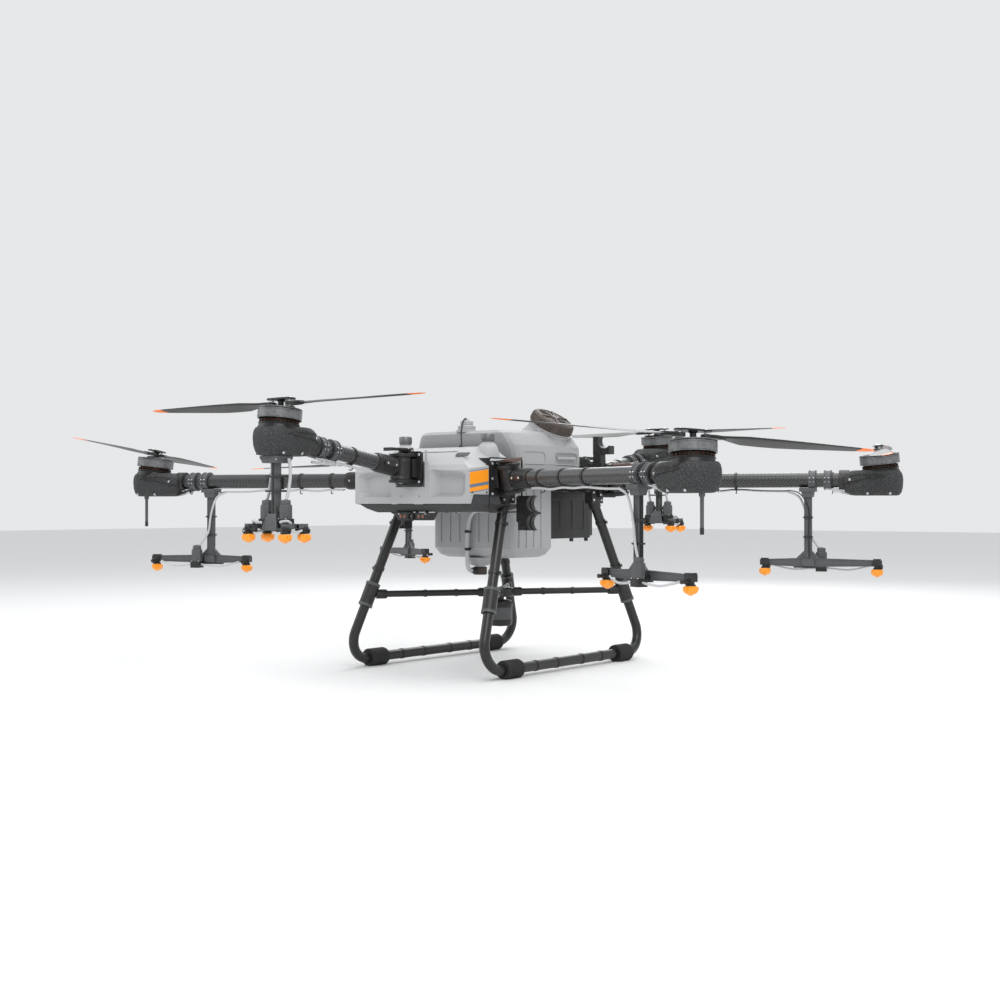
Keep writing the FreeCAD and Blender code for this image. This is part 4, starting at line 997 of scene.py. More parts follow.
def build_cluster(arm):
    """Two-tone strut, twin valves and a cross of four nozzles below an end arm."""
    frame_m = arm_matrix(arm)
    reach = seat_of(arm).x
    rise = reach * math.tan(END_SLOPE)
    x0, top, low = reach + 0.01, rise - 0.0445, rise - 0.214
    shape = Shape("cluster_" + arm, frame_m)
    shape.add(extrude(rounded_rect(0.03, 0.03, 0.006, centre=(x0, 0)), top - 0.0075, top), "nylon_grey")
    for sx, sy in QUARTERS:
        shape.screw(0.0034, 0.0028, (x0 + sx * 0.023, sy * 0.023, top - 0.0075), (0, 0, -1))
    height = top - low - 0.008
    six = [(x0 + 0.0125 * math.cos(FULL_TURN * (k + 0.5) / 6),
        0.0125 * math.sin(FULL_TURN * (k + 0.5) / 6)) for k in range(6)]
    shape.add(extrude(six, low + 0.004, top - 0.007), "nylon_grey")
    for side in BOTH:
        shape.add(block((0.01, 0.0035, height - 0.02), (x0 + side * 0.0055, 0.0,
            low + 0.012 + height / 2)), "nylon_black")
        shape.add(block((0.0065, 0.0075, height - 0.012), (x0 + side * 0.0088, 0,
            low + 0.01 + height / 2)), "nylon_black")
    shape.add(block((0.05, 0.044, 0.01), (x0, 0, top - 0.0125), (1.15, 1.15)), "nylon_grey")
    foot = [[(x0 + sx * w, sy * w, z) for sx, sy in ((1, 1), (-1, 1), (-1, -1), (1, -1))] for z,
        w in ((low - 0.011, 0.022), (low + 0.008, 0.0205), (low + 0.03, 0.0145))]
    shape.add(loft(foot), "nylon_grey")
    for k in range(4):
        turn = at(x0, 0, 0) @ turn_z(math.pi / 2 * k + math.pi / 4)
        fin = [(0.01, low + 0.034), (0.03, low + 0.01), (0.036, low - 0.01), (0.01, low - 0.01)]
        shape.add(extrude(fin, -0.0016, 0.0016), "nylon_grey", frame_m @ turn @ UPRIGHT)
    for sy in BOTH:
        bar = [(0.018, low + 0.012), (0.075, low + 0.004), (0.075, low - 0.005), (0.018, low - 0.012)]
        turn = at(x0, 0, 0) @ turn_z(sy * math.pi / 2)
        ribbed_plate(shape, bar, 0.011, "nylon_grey", frame_m @ turn, 0.0022)
        y = sy * 0.065
        shape.add(block((0.076, 0.013, 0.011), (x0, y, low)), "nylon_grey")
        for sx in BOTH:
            spot = frame_m @ at(x0 + sx * 0.031, y, low - 0.018)
            add_nozzle(shape, spot, turn=math.pi / 2 * sy)
        shape.add(hose([(x0 - 0.02, y + sy * 0.003, low - 0.0105), (x0, y + sy * 0.006, low - 0.0145),
            (x0 + 0.02, y + sy * 0.003, low - 0.0105)], 0.0034, 12), "hose_white")
        valve_y = sy * 0.034
        add_valve(shape, frame_m @ at(x0, valve_y, low + 0.016), 0.048)
        shape.add(block((0.014, 0.018, 0.012), (x0, sy * 0.016, low + 0.04)), "nylon_black")
        shape.add(hose([(x0 - 0.012, valve_y * 0.9, top - 0.006), (x0 - 0.016, valve_y * 0.95,
            top - 0.03), (x0 - 0.013, valve_y * 1.0, top - 0.06), (x0 - 0.006, valve_y, low + 0.076),
            (x0, valve_y, low + 0.062)], 0.004, 12), "hose_white")
        shape.add(hose([(x0 + 0.015, valve_y, low + 0.008), (x0 + 0.024, valve_y * 1.25, low + 0.01),
            (x0 + 0.02, y * 0.93, low + 0.012), (x0 + 0.012, y, low + 0.006)], 0.0034, 12), "hose_white")
    tilt = frame_m @ tube_tilt(arm)
    for x in (reach - 0.128, reach - 0.172):
        h_clamp(shape, x, tilt)
    shape.add(block((0.075, 0.02, 0.008), (reach - 0.15, 0, -0.03)), "bright_alloy", tilt)
    shape.add(block((0.012, 0.024, 0.013), (reach - 0.188, 0, -0.031)), "hose_white", tilt)
    shape.add(hose([(0.115, 0.006, -0.0275), (0.17, 0.007, -0.03), (0.24, 0.006, -0.029),
        (reach - 0.15, 0.009, -0.0375), (reach - 0.1, 0.01, -0.042)], 0.0036, 12, 5), "hose_white", tilt)
    for dz in (-0.05, -0.085):
        shape.add(block((0.034, 0.052, 0.0045), (x0 - 0.004, 0, top + dz)), "nylon_black")
    shape.add(block((0.0045, 0.012, 0.03), (x0 - 0.019, 0, top - 0.066)), "nylon_black")
    return shape.build("arm_" + arm, ("spray_boom_" + arm,), "boom_plastic", bevel=0.5, segments=2)


def build_lever(arm):
    """Over-centre lever: ribbed plate, finger grip and barrel."""
    place = hinge_matrix(arm)
    place.translation = pivot(arm + "_lock_lever")
    shape = Shape("lever_" + arm, place)
    outline = [(0.004, -0.0115), (0.05, -0.013), (0.062, -0.016), (0.0725, -0.015), (0.0725, 0.015),
        (0.062, 0.016), (0.05, 0.013), (0.004, 0.0115)]
    plate = "nylon_black" if arm in END_ARMS else "lever_brown"
    shape.add(extrude(outline, 0.0008, 0.0048), plate)
    for y in (-0.0105, 0.0105):
        shape.add(block((0.056, 0.003, 0.0068), (0.034, y, 0.0038)), plate)
    for k in range(4):
        shape.add(block((0.0028, 0.018, 0.0028), (0.016 + 0.009 * k, 0, 0.0056)), plate)
    for k in range(3):
        shape.add(block((0.0022, 0.028, 0.0026), (0.0625 + 0.004 * k, 0, 0.006)), "nylon_black")
    shape.add(block((0.006, 0.03, 0.009), (0.0698, 0, 0.0028)), plate)
    shape.add(bush(0.0059, 0.0032, -0.0128, 0.0128, axis=(0, 1, 0), sides=28), "nylon_black")
    return shape.build("lever_" + arm, ("lock_lever_" + arm,), "lever_plastic", bevel=0.4, segments=2)


# ------------------------------------------------------------------ nose shell and tray

SHELL_HALF = 0.207


def cut_with(item, cutters):
    """Subtract closed meshes, then drop them."""
    for form in cutters:
        tool = loose("Cutter", form, item.data.materials[0])
        step = item.modifiers.new("Recess", "BOOLEAN")
        step.operation, step.object, step.solver = "DIFFERENCE", tool, "EXACT"
        graph = bpy.context.evaluated_depsgraph_get()
        done = bpy.data.meshes.new_from_object(item.evaluated_get(graph))
        item.modifiers.clear()
        item.data = done
        bpy.data.objects.remove(tool)


def loose(name, form, material):
    """Plain object to be cut before it is finished."""
    mesh = bpy.data.meshes.new(name)
    mesh.from_pydata([tuple(p) for p in form[0]], [], form[1])
    face_outward(mesh)
    mesh.materials.append(material if isinstance(material, bpy.types.Material) else MATERIALS[material])
    item = bpy.data.objects.new(name, mesh)
    bpy.context.scene.collection.objects.link(item)
    return item


def finish_cut(item, body, nodes=(), bevel=1.2, segments=3, angle=28):
    item.data.shade_smooth()
    edge = item.modifiers.new("Rounded edges", "BEVEL")
    edge.width, edge.segments = bevel * MM, segments
    edge.limit_method, edge.angle_limit = "ANGLE", math.radians(angle)
    edge.harden_normals = True
    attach(item, body)
    if nodes:
        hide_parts(*nodes)
    return item


SHELL_PROFILE = ((-0.389, 0.463), (-0.389, 0.552), (-0.382, 0.567), (-0.345, 0.598), (-0.318, 0.608),
    (-0.297, 0.613), (-0.2, 0.622), (-0.2, 0.463))


def side_profile(points, half):
    """Profile in Y and Z pulled across X."""
    count = len(points)
    verts = [(-half, y, z) for y, z in points] + [(half, y, z) for y, z in points]
    faces = [tuple(range(count)), tuple(reversed(range(count, 2 * count)))]
    faces += [(i, i + count, (i + 1) % count + count, (i + 1) % count) for i in range(count)]
    return verts, faces


def build_shell():
    """Light nose shell: scoops, raised lip, vent slot, parting groove and stripes."""
    item = loose("nose_shell", side_profile(SHELL_PROFILE, SHELL_HALF), "shell_plastic")
    inner = [(y * 0.935 if y < -0.21 else y + 0.01, z - 0.014 if z > 0.5 else z - 0.02) for y,
        z in SHELL_PROFILE]
    cuts = [side_profile([(y, min(z, 0.543)) for y, z in (inner[0], inner[1], inner[6],
        inner[7])], SHELL_HALF - 0.004), side_profile(inner, 0.118)]
    for side in BOTH:
        cuts.append(block((0.03, 0.148, 0.15), (side * 0.207, -0.233, 0.513)))
        wing = [(-0.382, 0.46), (-0.37, 0.4875), (-0.19, 0.4875), (-0.19, 0.46)]
        cuts.append(([(side * 0.195, y, z) for y, z in wing] + [(side * 0.21, y, z) for y, z in wing],
            [(0, 1, 2, 3), (7, 6, 5, 4), (0, 4, 5, 1), (1, 5, 6, 2), (2, 6, 7, 3), (3, 7, 4, 0)]))
        scoop = [(side * x, z) for x, z in ((0.068, 0.48), (0.068, 0.549), (0.076, 0.557), (0.186, 0.549),
            (0.199, 0.541), (0.196, 0.492), (0.184, 0.48))]
        ring_out = [(x, -0.3925, z) for x, z in scoop]
        cx = side * 0.122
        ring_in = [(cx + (x - cx) * 0.66, -0.369, 0.512 + (z - 0.516) * 0.7) for x, z in scoop]
        cuts.append(loft([ring_out, ring_in]))
        slope = [(side * x, z) for x, z in ((0.132, 0.64), (0.132, 0.6215), (0.165, 0.596),
            (0.2095, 0.569), (0.2095, 0.64))]
        cuts.append(([(x, -0.395, z - 0.016) for x, z in slope] + [(x, -0.19, z + 0.004) for x,
            z in slope], [(4, 3, 2, 1, 0), (5, 6, 7, 8, 9), (0, 1, 6, 5), (1, 2, 7, 6), (2, 3, 8, 7),
            (3, 4, 9, 8), (4, 0, 5, 9)]))
    cuts.append(block((0.104, 0.03, 0.11), (0, -0.389, 0.56)))
    slot = at(0, -0.332, 0.6045) @ turn_x(math.radians(20))
    cuts.append(extrude(rounded_rect(0.12, 0.0034, 0.0032), -0.01, 0.01, slot))
    for side in BOTH:
        place = at(side * 0.155, -0.352, 0.596) @ turn_x(math.radians(38))
        cuts.append(extrude(rounded_rect(0.026, 0.01, 0.006), -0.0022, 0.01, place))
    cut_with(item, cuts)
    finish_cut(item, "airframe", ("front_shell",), 1.6, 3, 25)

    trim = Shape("shell_trim")
    lip = [(-0.06, 0.5), (-0.06, 0.606), (-0.052, 0.606), (-0.052, 0.508), (0.052, 0.508), (0.052, 0.606),
        (0.06, 0.606), (0.06, 0.5)]
    trim.add(extrude(lip, 0.3868, 0.3888, UPRIGHT), "shell_plastic")
    plate = [(-0.046, 0.466), (-0.046, 0.494), (-0.036, 0.5005), (0.036, 0.5005), (0.046, 0.494),
        (0.046, 0.466)]
    trim.add(extrude(plate, 0.3866, 0.3889, UPRIGHT), "shell_plastic")
    for x in (-0.033, 0.033):
        trim.screw(0.0034, 0.001, (x, -0.388, 0.483), (0, -1, 0))
    trim.add(block((0.232, 0.004, 0.005), (0, -0.3315, 0.6005)), "nylon_black")
    for side in BOTH:
        for low, high, colour in ((0.013, 0.045, "accent_plastic"), (-0.0065, 0.0045, "accent_plastic"),
                (0.0465, 0.048, "stripe_blue"), (0.0045, 0.013, "stripe_blue"),
                (-0.0085, -0.0065, "stripe_blue")):
            band = [(-0.3865, 0.5 + low), (-0.309, 0.5095 + low), (-0.309, 0.51 + high),
                (-0.3865, 0.5 + high)]
            sheet = [(side * (0.2069 + d), y, z) for d in (0.0, 0.0004) for y, z in band]
            faces = [(0, 1, 2, 3), (7, 6, 5, 4), (0, 4, 5, 1), (1, 5, 6, 2), (2, 6, 7, 3), (3, 7, 4, 0)]
            trim.add((sheet, faces), colour)
        for y, z in ((-0.376, 0.493), (-0.316, 0.493), (-0.316, 0.568)):
            trim.add(hex_screw(0.0032, 0.0009, (side * 0.2069, y, z), (side, 0, 0)), "nylon_black")
        frame_points = rounded_rect(0.0725, 0.074, 0.006, 4, (-0.233, 0.513))
        ring_out = [(side * 0.2071, y, z) for y, z in frame_points]
        ring_in = [(side * 0.2071, -0.233 + (y + 0.233) * 0.95, 0.513 + (z - 0.513) * 0.95) for y,
            z in frame_points]
        back_out = [(side * 0.2035, y, z) for x, y, z in ring_out]
        back_in = [(side * 0.2035, y, z) for x, y, z in ring_in]
        form = loft([back_in, back_out, ring_out, ring_in, back_in], caps=False)
        trim.add(form, "nylon_black")
        place = at(side * 0.155, -0.3525, 0.5935) @ turn_x(math.radians(38))
        trim.add(extrude(rounded_rect(0.0225, 0.0075, 0.004), 0.0, 0.0016, place), "nylon_grey")
    trim.build("airframe", slot="shell_plastic", bevel=0.4)


def build_tray():
    """Textured dark tray with ribs and chamfered ends."""
    def level(z, half, front, back):
        return [(-half, front + 0.012, z), (-half + 0.012, front, z), (half - 0.012, front, z),
            (half, front + 0.012, z), (half, back, z), (-half, back, z)]
    item = loose("belly_tray_body", loft([level(0.4412, 0.156, -0.372, -0.172), level(0.45, 0.182, -0.38,
        -0.158), level(0.4622, 0.2045, -0.385, -0.15)]), "tray_plastic")
    cuts = [block((0.308, 0.206, 0.021), (0, -0.267, 0.4555))]
    for k in range(5):
        cuts.append(block((0.01, 0.16, 0.003), (-0.1 + 0.05 * k, -0.267, 0.4412)))
    cut_with(item, cuts)
    finish_cut(item, "airframe", ("belly_tray",), 1.4, 3)
    trim = Shape("belly_tray_trim")
    for k in range(9):
        x = -0.14 + 0.035 * k
        trim.add(block((0.0035, 0.012, 0.003), (x, -0.36, 0.441)), "tray_plastic")
    for side in BOTH:
        wing = [(-0.379, 0.4615), (-0.369, 0.4865), (-0.265, 0.4865), (-0.25, 0.4615)]
        trim.add(([(side * 0.196, y, z) for y, z in wing] + [(side * 0.2058, y, z) for y, z in wing],
            [(0, 1, 2, 3), (7, 6, 5, 4), (0, 4, 5, 1), (1, 5, 6, 2), (2, 6, 7, 3),
            (3, 7, 4, 0)]), "tray_plastic")
    for x in (-0.145, 0.145):
        for y in (-0.355, -0.18):
            trim.screw(0.0045, 0.0024, (x, y, 0.4413), (0, 0, -1))
    trim.build("airframe", slot="tray_plastic", bevel=0.4)


def build_camera():
    """Forward camera: tapered housing, lens in a hood and four lamps."""
    y, z = -0.384, 0.4405
    shape = Shape("nose_camera")
    rings = [[(sx * w, y + d, zz) for sx, d in ((-1, 0.002), (1, 0.002), (1, 0.034), (-1, 0.034))] for zz,
        w in ((z - 0.022, 0.052), (z - 0.019, 0.0545), (z - 0.001, 0.0655))]
    shape.add(loft(rings), "nylon_black")
    shape.add(bush(0.0098, 0.0072, -0.0018, 0.006, (0, y + 0.002, z - 0.0115), (0, -1, 0), 32),
        "dark_alloy")
    shape.add(lathe([(0, 0), (0.0071, 0), (0.0071, 0.0012), (0.005, 0.0028), (0.0026, 0.0036),
        (0, 0.0038)], (0, y + 0.0015, z - 0.0115), (0, -1, 0), 32), "lens_glass")
    for x in (-0.04, -0.026, 0.026, 0.04):
        shape.add(bush(0.0058, 0.0042, 0, 0.0022, (x, y + 0.002, z - 0.0115), (0, -1, 0), 24), "nylon_grey")
        shape.add(lathe([(0, 0), (0.0042, 0), (0.0036, 0.0018), (0.0018, 0.0026), (0, 0.0028)],
            (x, y + 0.0022, z - 0.0115), (0, -1, 0), 20), "led_amber")
    for x in (-0.048, 0.048):
        shape.screw(0.0022, 0.0008, (x, y + 0.0021, z - 0.005), (0, -1, 0))
    shape.build("airframe", ("camera_module",), "tray_plastic", bevel=0.6)


def build_aerials():
    """Two brushed satellite aerials on flared feet."""
    for side, name in ((1, "right"), (-1, "left")):
        shape = Shape("aerial_" + name)
        x, y = side * 0.151, -0.242
        shape.add(lathe([(0, 0.586), (0.033, 0.586), (0.03, 0.604), (0.0265, 0.615), (0.0235, 0.6215),
            (0.0195, 0.625), (0.016, 0.629), (0.0148, 0.632), (0, 0.632)], (x, y, 0),
            sides=44), "shell_plastic")
        shape.add(lathe([(0, 0.632), (0.0172, 0.632), (0.018, 0.6328), (0.018, 0.6345), (0.0172, 0.6352),
            (0.0182, 0.6358), (0.0184, 0.637), (0.0184, 0.651), (0.0172, 0.6532), (0.015, 0.654),
            (0, 0.654)], (x, y, 0), sides=56), "motor_alloy")
        for k in range(4):
            t = math.pi / 4 + math.pi / 2 * k
            shape.screw(0.0022, 0.0012, (x + 0.02 * math.cos(t), y + 0.02 * math.sin(t), 0.6236))
        shape.build("airframe", ("rtk_antennas",) if side > 0 else (), "shell_plastic", bevel=0.4)


# ------------------------------------------------------------------ tank

CORNER_STEPS = 4


def octagon_ring(z, half, front, rear, chamfer):
    """Rounded rectangle in plan, corners eased."""
    points = []
    for sx, edge_y, start in ((1, rear, 0), (-1, rear, 1), (-1, front, 2), (1, front, 3)):
        sy = 1 if edge_y == rear else -1
        for k in range(CORNER_STEPS + 1):
            t = (start + k / CORNER_STEPS) * math.pi / 2
            points.append((sx * (half - chamfer) + chamfer * math.cos(t), edge_y - sy * chamfer + chamfer
                * math.sin(t), z))
    return points


def build_tank():
    """Blow-moulded tank: grooved narrow well, faceted shoulders, seam, panels, handles and filler neck."""
    levels = ((0.3105, 0.12, -0.108, 0.045, 0.022), (0.318, 0.136, -0.124, 0.058, 0.026),
        (0.338, 0.148, -0.136, 0.069, 0.028), (0.42, 0.148, -0.136, 0.069, 0.028),
        (0.503, 0.148, -0.136, 0.069, 0.028), (0.53, 0.166, -0.143, 0.113, 0.03),
        (0.556, 0.185, -0.15, 0.159, 0.032), (0.59, 0.186, -0.158, 0.16, 0.032),
        (0.626, 0.185, -0.169, 0.159, 0.034), (0.648, 0.176, -0.175, 0.15, 0.038),
        (0.66, 0.168, -0.178, 0.141, 0.04), (0.668, 0.158, -0.172, 0.131, 0.042))
    item = loose("tank_body", loft([octagon_ring(*level) for level in levels]), "tank_plastic")
    cuts = []
    for side in BOTH:
        for y in (-0.104, -0.07, -0.036, -0.002):
            cuts.append(extrude(rounded_rect(0.0055, 0.082, 0.0052), -0.004, 0.004, at(side * 0.1495,
                y, 0.421) @ FACE_X))
        panel = at(side * 0.1865, 0.072, 0.59) @ FACE_X
        cuts.append(extrude(rounded_rect(0.056, 0.019, 0.014), -0.006, 0.006, panel))
        panel = at(side * 0.1865, -0.078, 0.59) @ FACE_X
        cuts.append(extrude(rounded_rect(0.05, 0.019, 0.014), -0.003, 0.003, panel))
    for x in (-0.105, -0.07, -0.035, 0.035, 0.07, 0.105):
        cuts.append(extrude(rounded_rect(0.0052, 0.07, 0.005), -0.004, 0.004, at(x, -0.1375, 0.425)
            @ turn_x(math.pi / 2)))
    for x in (-0.09, 0.0, 0.09):
        cuts.append(extrude(rounded_rect(0.03, 0.012, 0.008), -0.003, 0.003,
            at(x, -0.166, 0.6) @ turn_x(math.radians(105))))
    cuts.append(extrude(rounded_rect(0.06, 0.04, 0.016, centre=(-0.06, 0.06)), 0.6655, 0.675))
    cut_with(item, cuts)
    finish_cut(item, "airframe", ("spray_tank",), 2.6, 4, 20)

    trim = Shape("tank_trim")
    seam = [octagon_ring(z, 0.1868, -0.1588, 0.1608, 0.033) for z in (0.5735, 0.5765)]
    trim.add(loft(seam), "tank_plastic")
    lean = math.radians(30)
    out = Vector((math.sin(lean), 0, math.cos(lean)))
    centre = Vector((0.15, 0.055, 0.7))
    neck = [(0, -0.062), (0.072, -0.062), (0.069, -0.054), (0.064, -0.044), (0.061, -0.034),
        (0.06, -0.0275), (0.0635, -0.0265), (0.0635, -0.022), (0.056, -0.021), (0.056, -0.0172),
        (0, -0.0172)]
    trim.add(lathe(neck, centre, out, 64), "tank_plastic")
    trim.add(bush(0.0605, 0.05, -0.0205, -0.0172, centre, out, 64), "hose_white")
    for k in range(3):
        turn = Matrix.Translation(centre) @ Matrix.Rotation(lean, 4,
            "Y") @ turn_z(math.radians(40 + 120 * k))
        trim.add(block((0.012, 0.02, 0.006), (0.0655, 0, -0.024)), "tank_plastic", turn)
    trim.add(lathe([(0, 0.3105), (0.039, 0.3105), (0.033, 0.3), (0.028, 0.29), (0.026, 0.2875),
        (0, 0.2875)], (0, -0.092, 0), sides=48), "tank_plastic")
    trim.add(lathe([(0, 0.664), (0.03, 0.664), (0.03, 0.6715), (0.0265, 0.6728), (0, 0.6728)],
        (0, -0.151, 0), sides=48), "tank_plastic")
    for side in BOTH:
        trim.add(hose([(side * 0.184, 0.03, 0.5925), (side * 0.1885 - side * 0.002, 0.045, 0.593),
            (side * 0.186, 0.072, 0.5932), (side * 0.1865, 0.099, 0.593), (side * 0.184, 0.114,
            0.5925)], 0.005, 14), "tank_plastic")
    trim.build("airframe", slot="tank_plastic", bevel=0.8, segments=2)


def build_cap():
    """Ridged filler cap with grip tabs and a vent."""
    lean = math.radians(30)
    place = at(0.15, 0.055, 0.7) @ Matrix.Rotation(lean, 4, "Y")
    shape = Shape("filler_cap", place)
    skirt = [[(x, y, z) for x, y in lobed(radius, 36, depth, 216)] for z, radius,
        depth in ((-0.0168, 0.062, 0.0004), (-0.014, 0.0632, 0.0012), (0.004, 0.0628, 0.0013),
        (0.0095, 0.0605, 0.0008), (0.012, 0.057, 0.0002))]
    shape.add(loft(skirt), "cap_plastic")
    shape.add(lathe([(0, 0.011), (0.056, 0.011), (0.0545, 0.0136), (0.047, 0.0142), (0.045, 0.0118),
        (0.03, 0.011), (0.0285, 0.013), (0, 0.014)], sides=72), "cap_plastic")
    for k in range(3):
        turn = place @ turn_z(math.radians(20 + 60 * k))
        shape.add(block((0.1, 0.0065, 0.005), (0, 0, 0.014), (0.96, 0.6)), "cap_plastic", turn)
    for k in range(6):
        turn = place @ turn_z(math.radians(20 + 60 * k))
        shape.add(block((0.007, 0.024, 0.02), (0.0612, 0, -0.005), (0.7, 0.9)), "cap_plastic", turn)
    shape.add(lathe([(0, 0.013), (0.013, 0.013), (0.013, 0.0155), (0.011, 0.0168), (0, 0.0168)],
        sides=40), "cap_plastic")
    shape.add(bush(0.01, 0.0075, 0.016, 0.0169, sides=32), "nylon_black")
    shape.build("tank_cap_body", ("tank_cap",), "cap_plastic", bevel=0.5, segments=2)


def build_fittings():
    """Level sensor with its cable, outlet cap with knurl and the hose up the front of the tank."""
    shape = Shape("tank_plumbing")
    shape.add(lathe([(0, 0.673), (0.0235, 0.673), (0.024, 0.6745), (0.024, 0.683), (0.0228, 0.6845),
        (0.0175, 0.685), (0.0175, 0.687), (0.0185, 0.688), (0.0185, 0.696), (0.0165, 0.698),
        (0.007, 0.6985), (0.007, 0.702), (0.005, 0.703), (0, 0.703)], (0, -0.151, 0),
        sides=48), "shell_plastic")
    for k in range(12):
        turn = at(0, -0.151, 0) @ turn_z(FULL_TURN * k / 12)
        shape.add(block((0.002, 0.005, 0.009), (0.024, 0, 0.6785)), "shell_plastic", turn)
    shape.add(hose([(0, -0.151, 0.7015), (0.002, -0.16, 0.704), (0.006, -0.176, 0.693),
        (0.012, -0.19, 0.665), (0.02, -0.198, 0.64), (0.024, -0.205, 0.624)], 0.0022, 10), "nylon_black")
    shape.add(lathe([(0, 0), (0.006, 0), (0.006, 0.005), (0.004, 0.0065), (0, 0.0065)],
        (0.0245, -0.206, 0.62), sides=20), "nylon_black")
    low = 0.2609
    knurl = [[(x, -0.092 + y, z) for x, y in lobed(radius, 28, depth, 168)] for z, radius,
        depth in ((low, 0.018, 0.0002), (low + 0.002, 0.0194, 0.0006), (low + 0.02, 0.0194, 0.0006),
        (low + 0.0225, 0.018, 0.0002))]
    shape.add(loft(knurl), "cap_plastic")
    shape.add(rod(0.015, low + 0.0215, low + 0.0262, (0, -0.092, 0), sides=36), "hose_white")
    shape.add(lathe([(0, 0), (0.0088, 0), (0.0088, 0.012), (0.0074, 0.0132), (0.0074, 0.018),
        (0.0085, 0.0186), (0.0074, 0.0225), (0.0074, 0.0255), (0.0085, 0.0262), (0.007, 0.0305),
        (0, 0.0305)], (0, -0.1, low + 0.0131), (0, -1, 0), 28), "nylon_black")
    shape.add(hose([(0, -0.122, 0.274), (0, -0.134, 0.2745), (0.0, -0.145, 0.283), (0.0, -0.1488, 0.31),
        (0.0, -0.149, 0.35), (0.002, -0.148, 0.39), (0.01, -0.148, 0.425), (0.03, -0.148, 0.4425),
        (0.066, -0.148, 0.4445)], 0.0062, 16), "hose_white")
    for z in (0.335, 0.385):
        shape.add(bush(0.0078, 0.0061, z - 0.004, z + 0.004, (0, -0.1488, 0), sides=24), "nylon_black")
        shape.add(block((0.006, 0.011, 0.007), (0, -0.1415, z)), "nylon_black")
    shape.build("airframe", ("tank_fittings",), "tank_plastic", bevel=0.35)


# ------------------------------------------------------------------ frame, sockets, cradles

def build_frame():
    """Side rails with lightening pockets, end plates with holes, and their fasteners."""
    item = loose("frame_core", block((0.009, 0.6, 0.05), (0.1975, 0, 0.53)), "frame_composite")
    cuts = [extrude(rounded_rect(0.034, 0.013, 0.011), -0.01, 0.01, at(0.1975, y, 0.53) @ FACE_X) for y
        in (-0.11, -0.015, 0.08)]
    cut_with(item, cuts)
    finish_cut(item, "airframe", ("center_frame",), 0.7, 2)
    other = item.data.copy()
    other.transform(Matrix.Scale(-1, 4, X_AXIS))
    other.flip_normals()
    mirrored = bpy.data.objects.new("frame_core_left", other)
    bpy.context.scene.collection.objects.link(mirrored)
    finish_cut(mirrored, "airframe", (), 0.7, 2)
    for y, name in ((-0.304, "nose"), (0.304, "tail")):
        plate = loose("frame_plate_" + name, block((0.404, 0.008, 0.086), (0, y, 0.542)), "frame_composite")
        cuts = [extrude(rounded_rect(0.03, 0.02, 0.012), -0.01, 0.01,
            at(x, y, 0.542) @ turn_x(math.pi / 2)) for x in (-0.098, 0.098)]
        if y > 0:
            cuts += [rod(0.0032, -0.02, 0.02, (sx * 0.15, y, 0.542 + sz * 0.025), (0, 1, 0), 24) for sx
                in (-1, 1) for sz in (-1, 1)]
        cut_with(plate, cuts)
        finish_cut(plate, "airframe", (), 0.7, 2)
    bolts = Shape("frame_bolts")
    for side in BOTH:
        for y in (-0.16, -0.062, 0.032, 0.128, 0.17):
            for z in (0.513, 0.547):
                bolts.screw(0.0042, 0.0028, (side * 0.202, y, z), (side, 0, 0))
    bolts.build("airframe", slot="frame_composite", bevel=0.2)


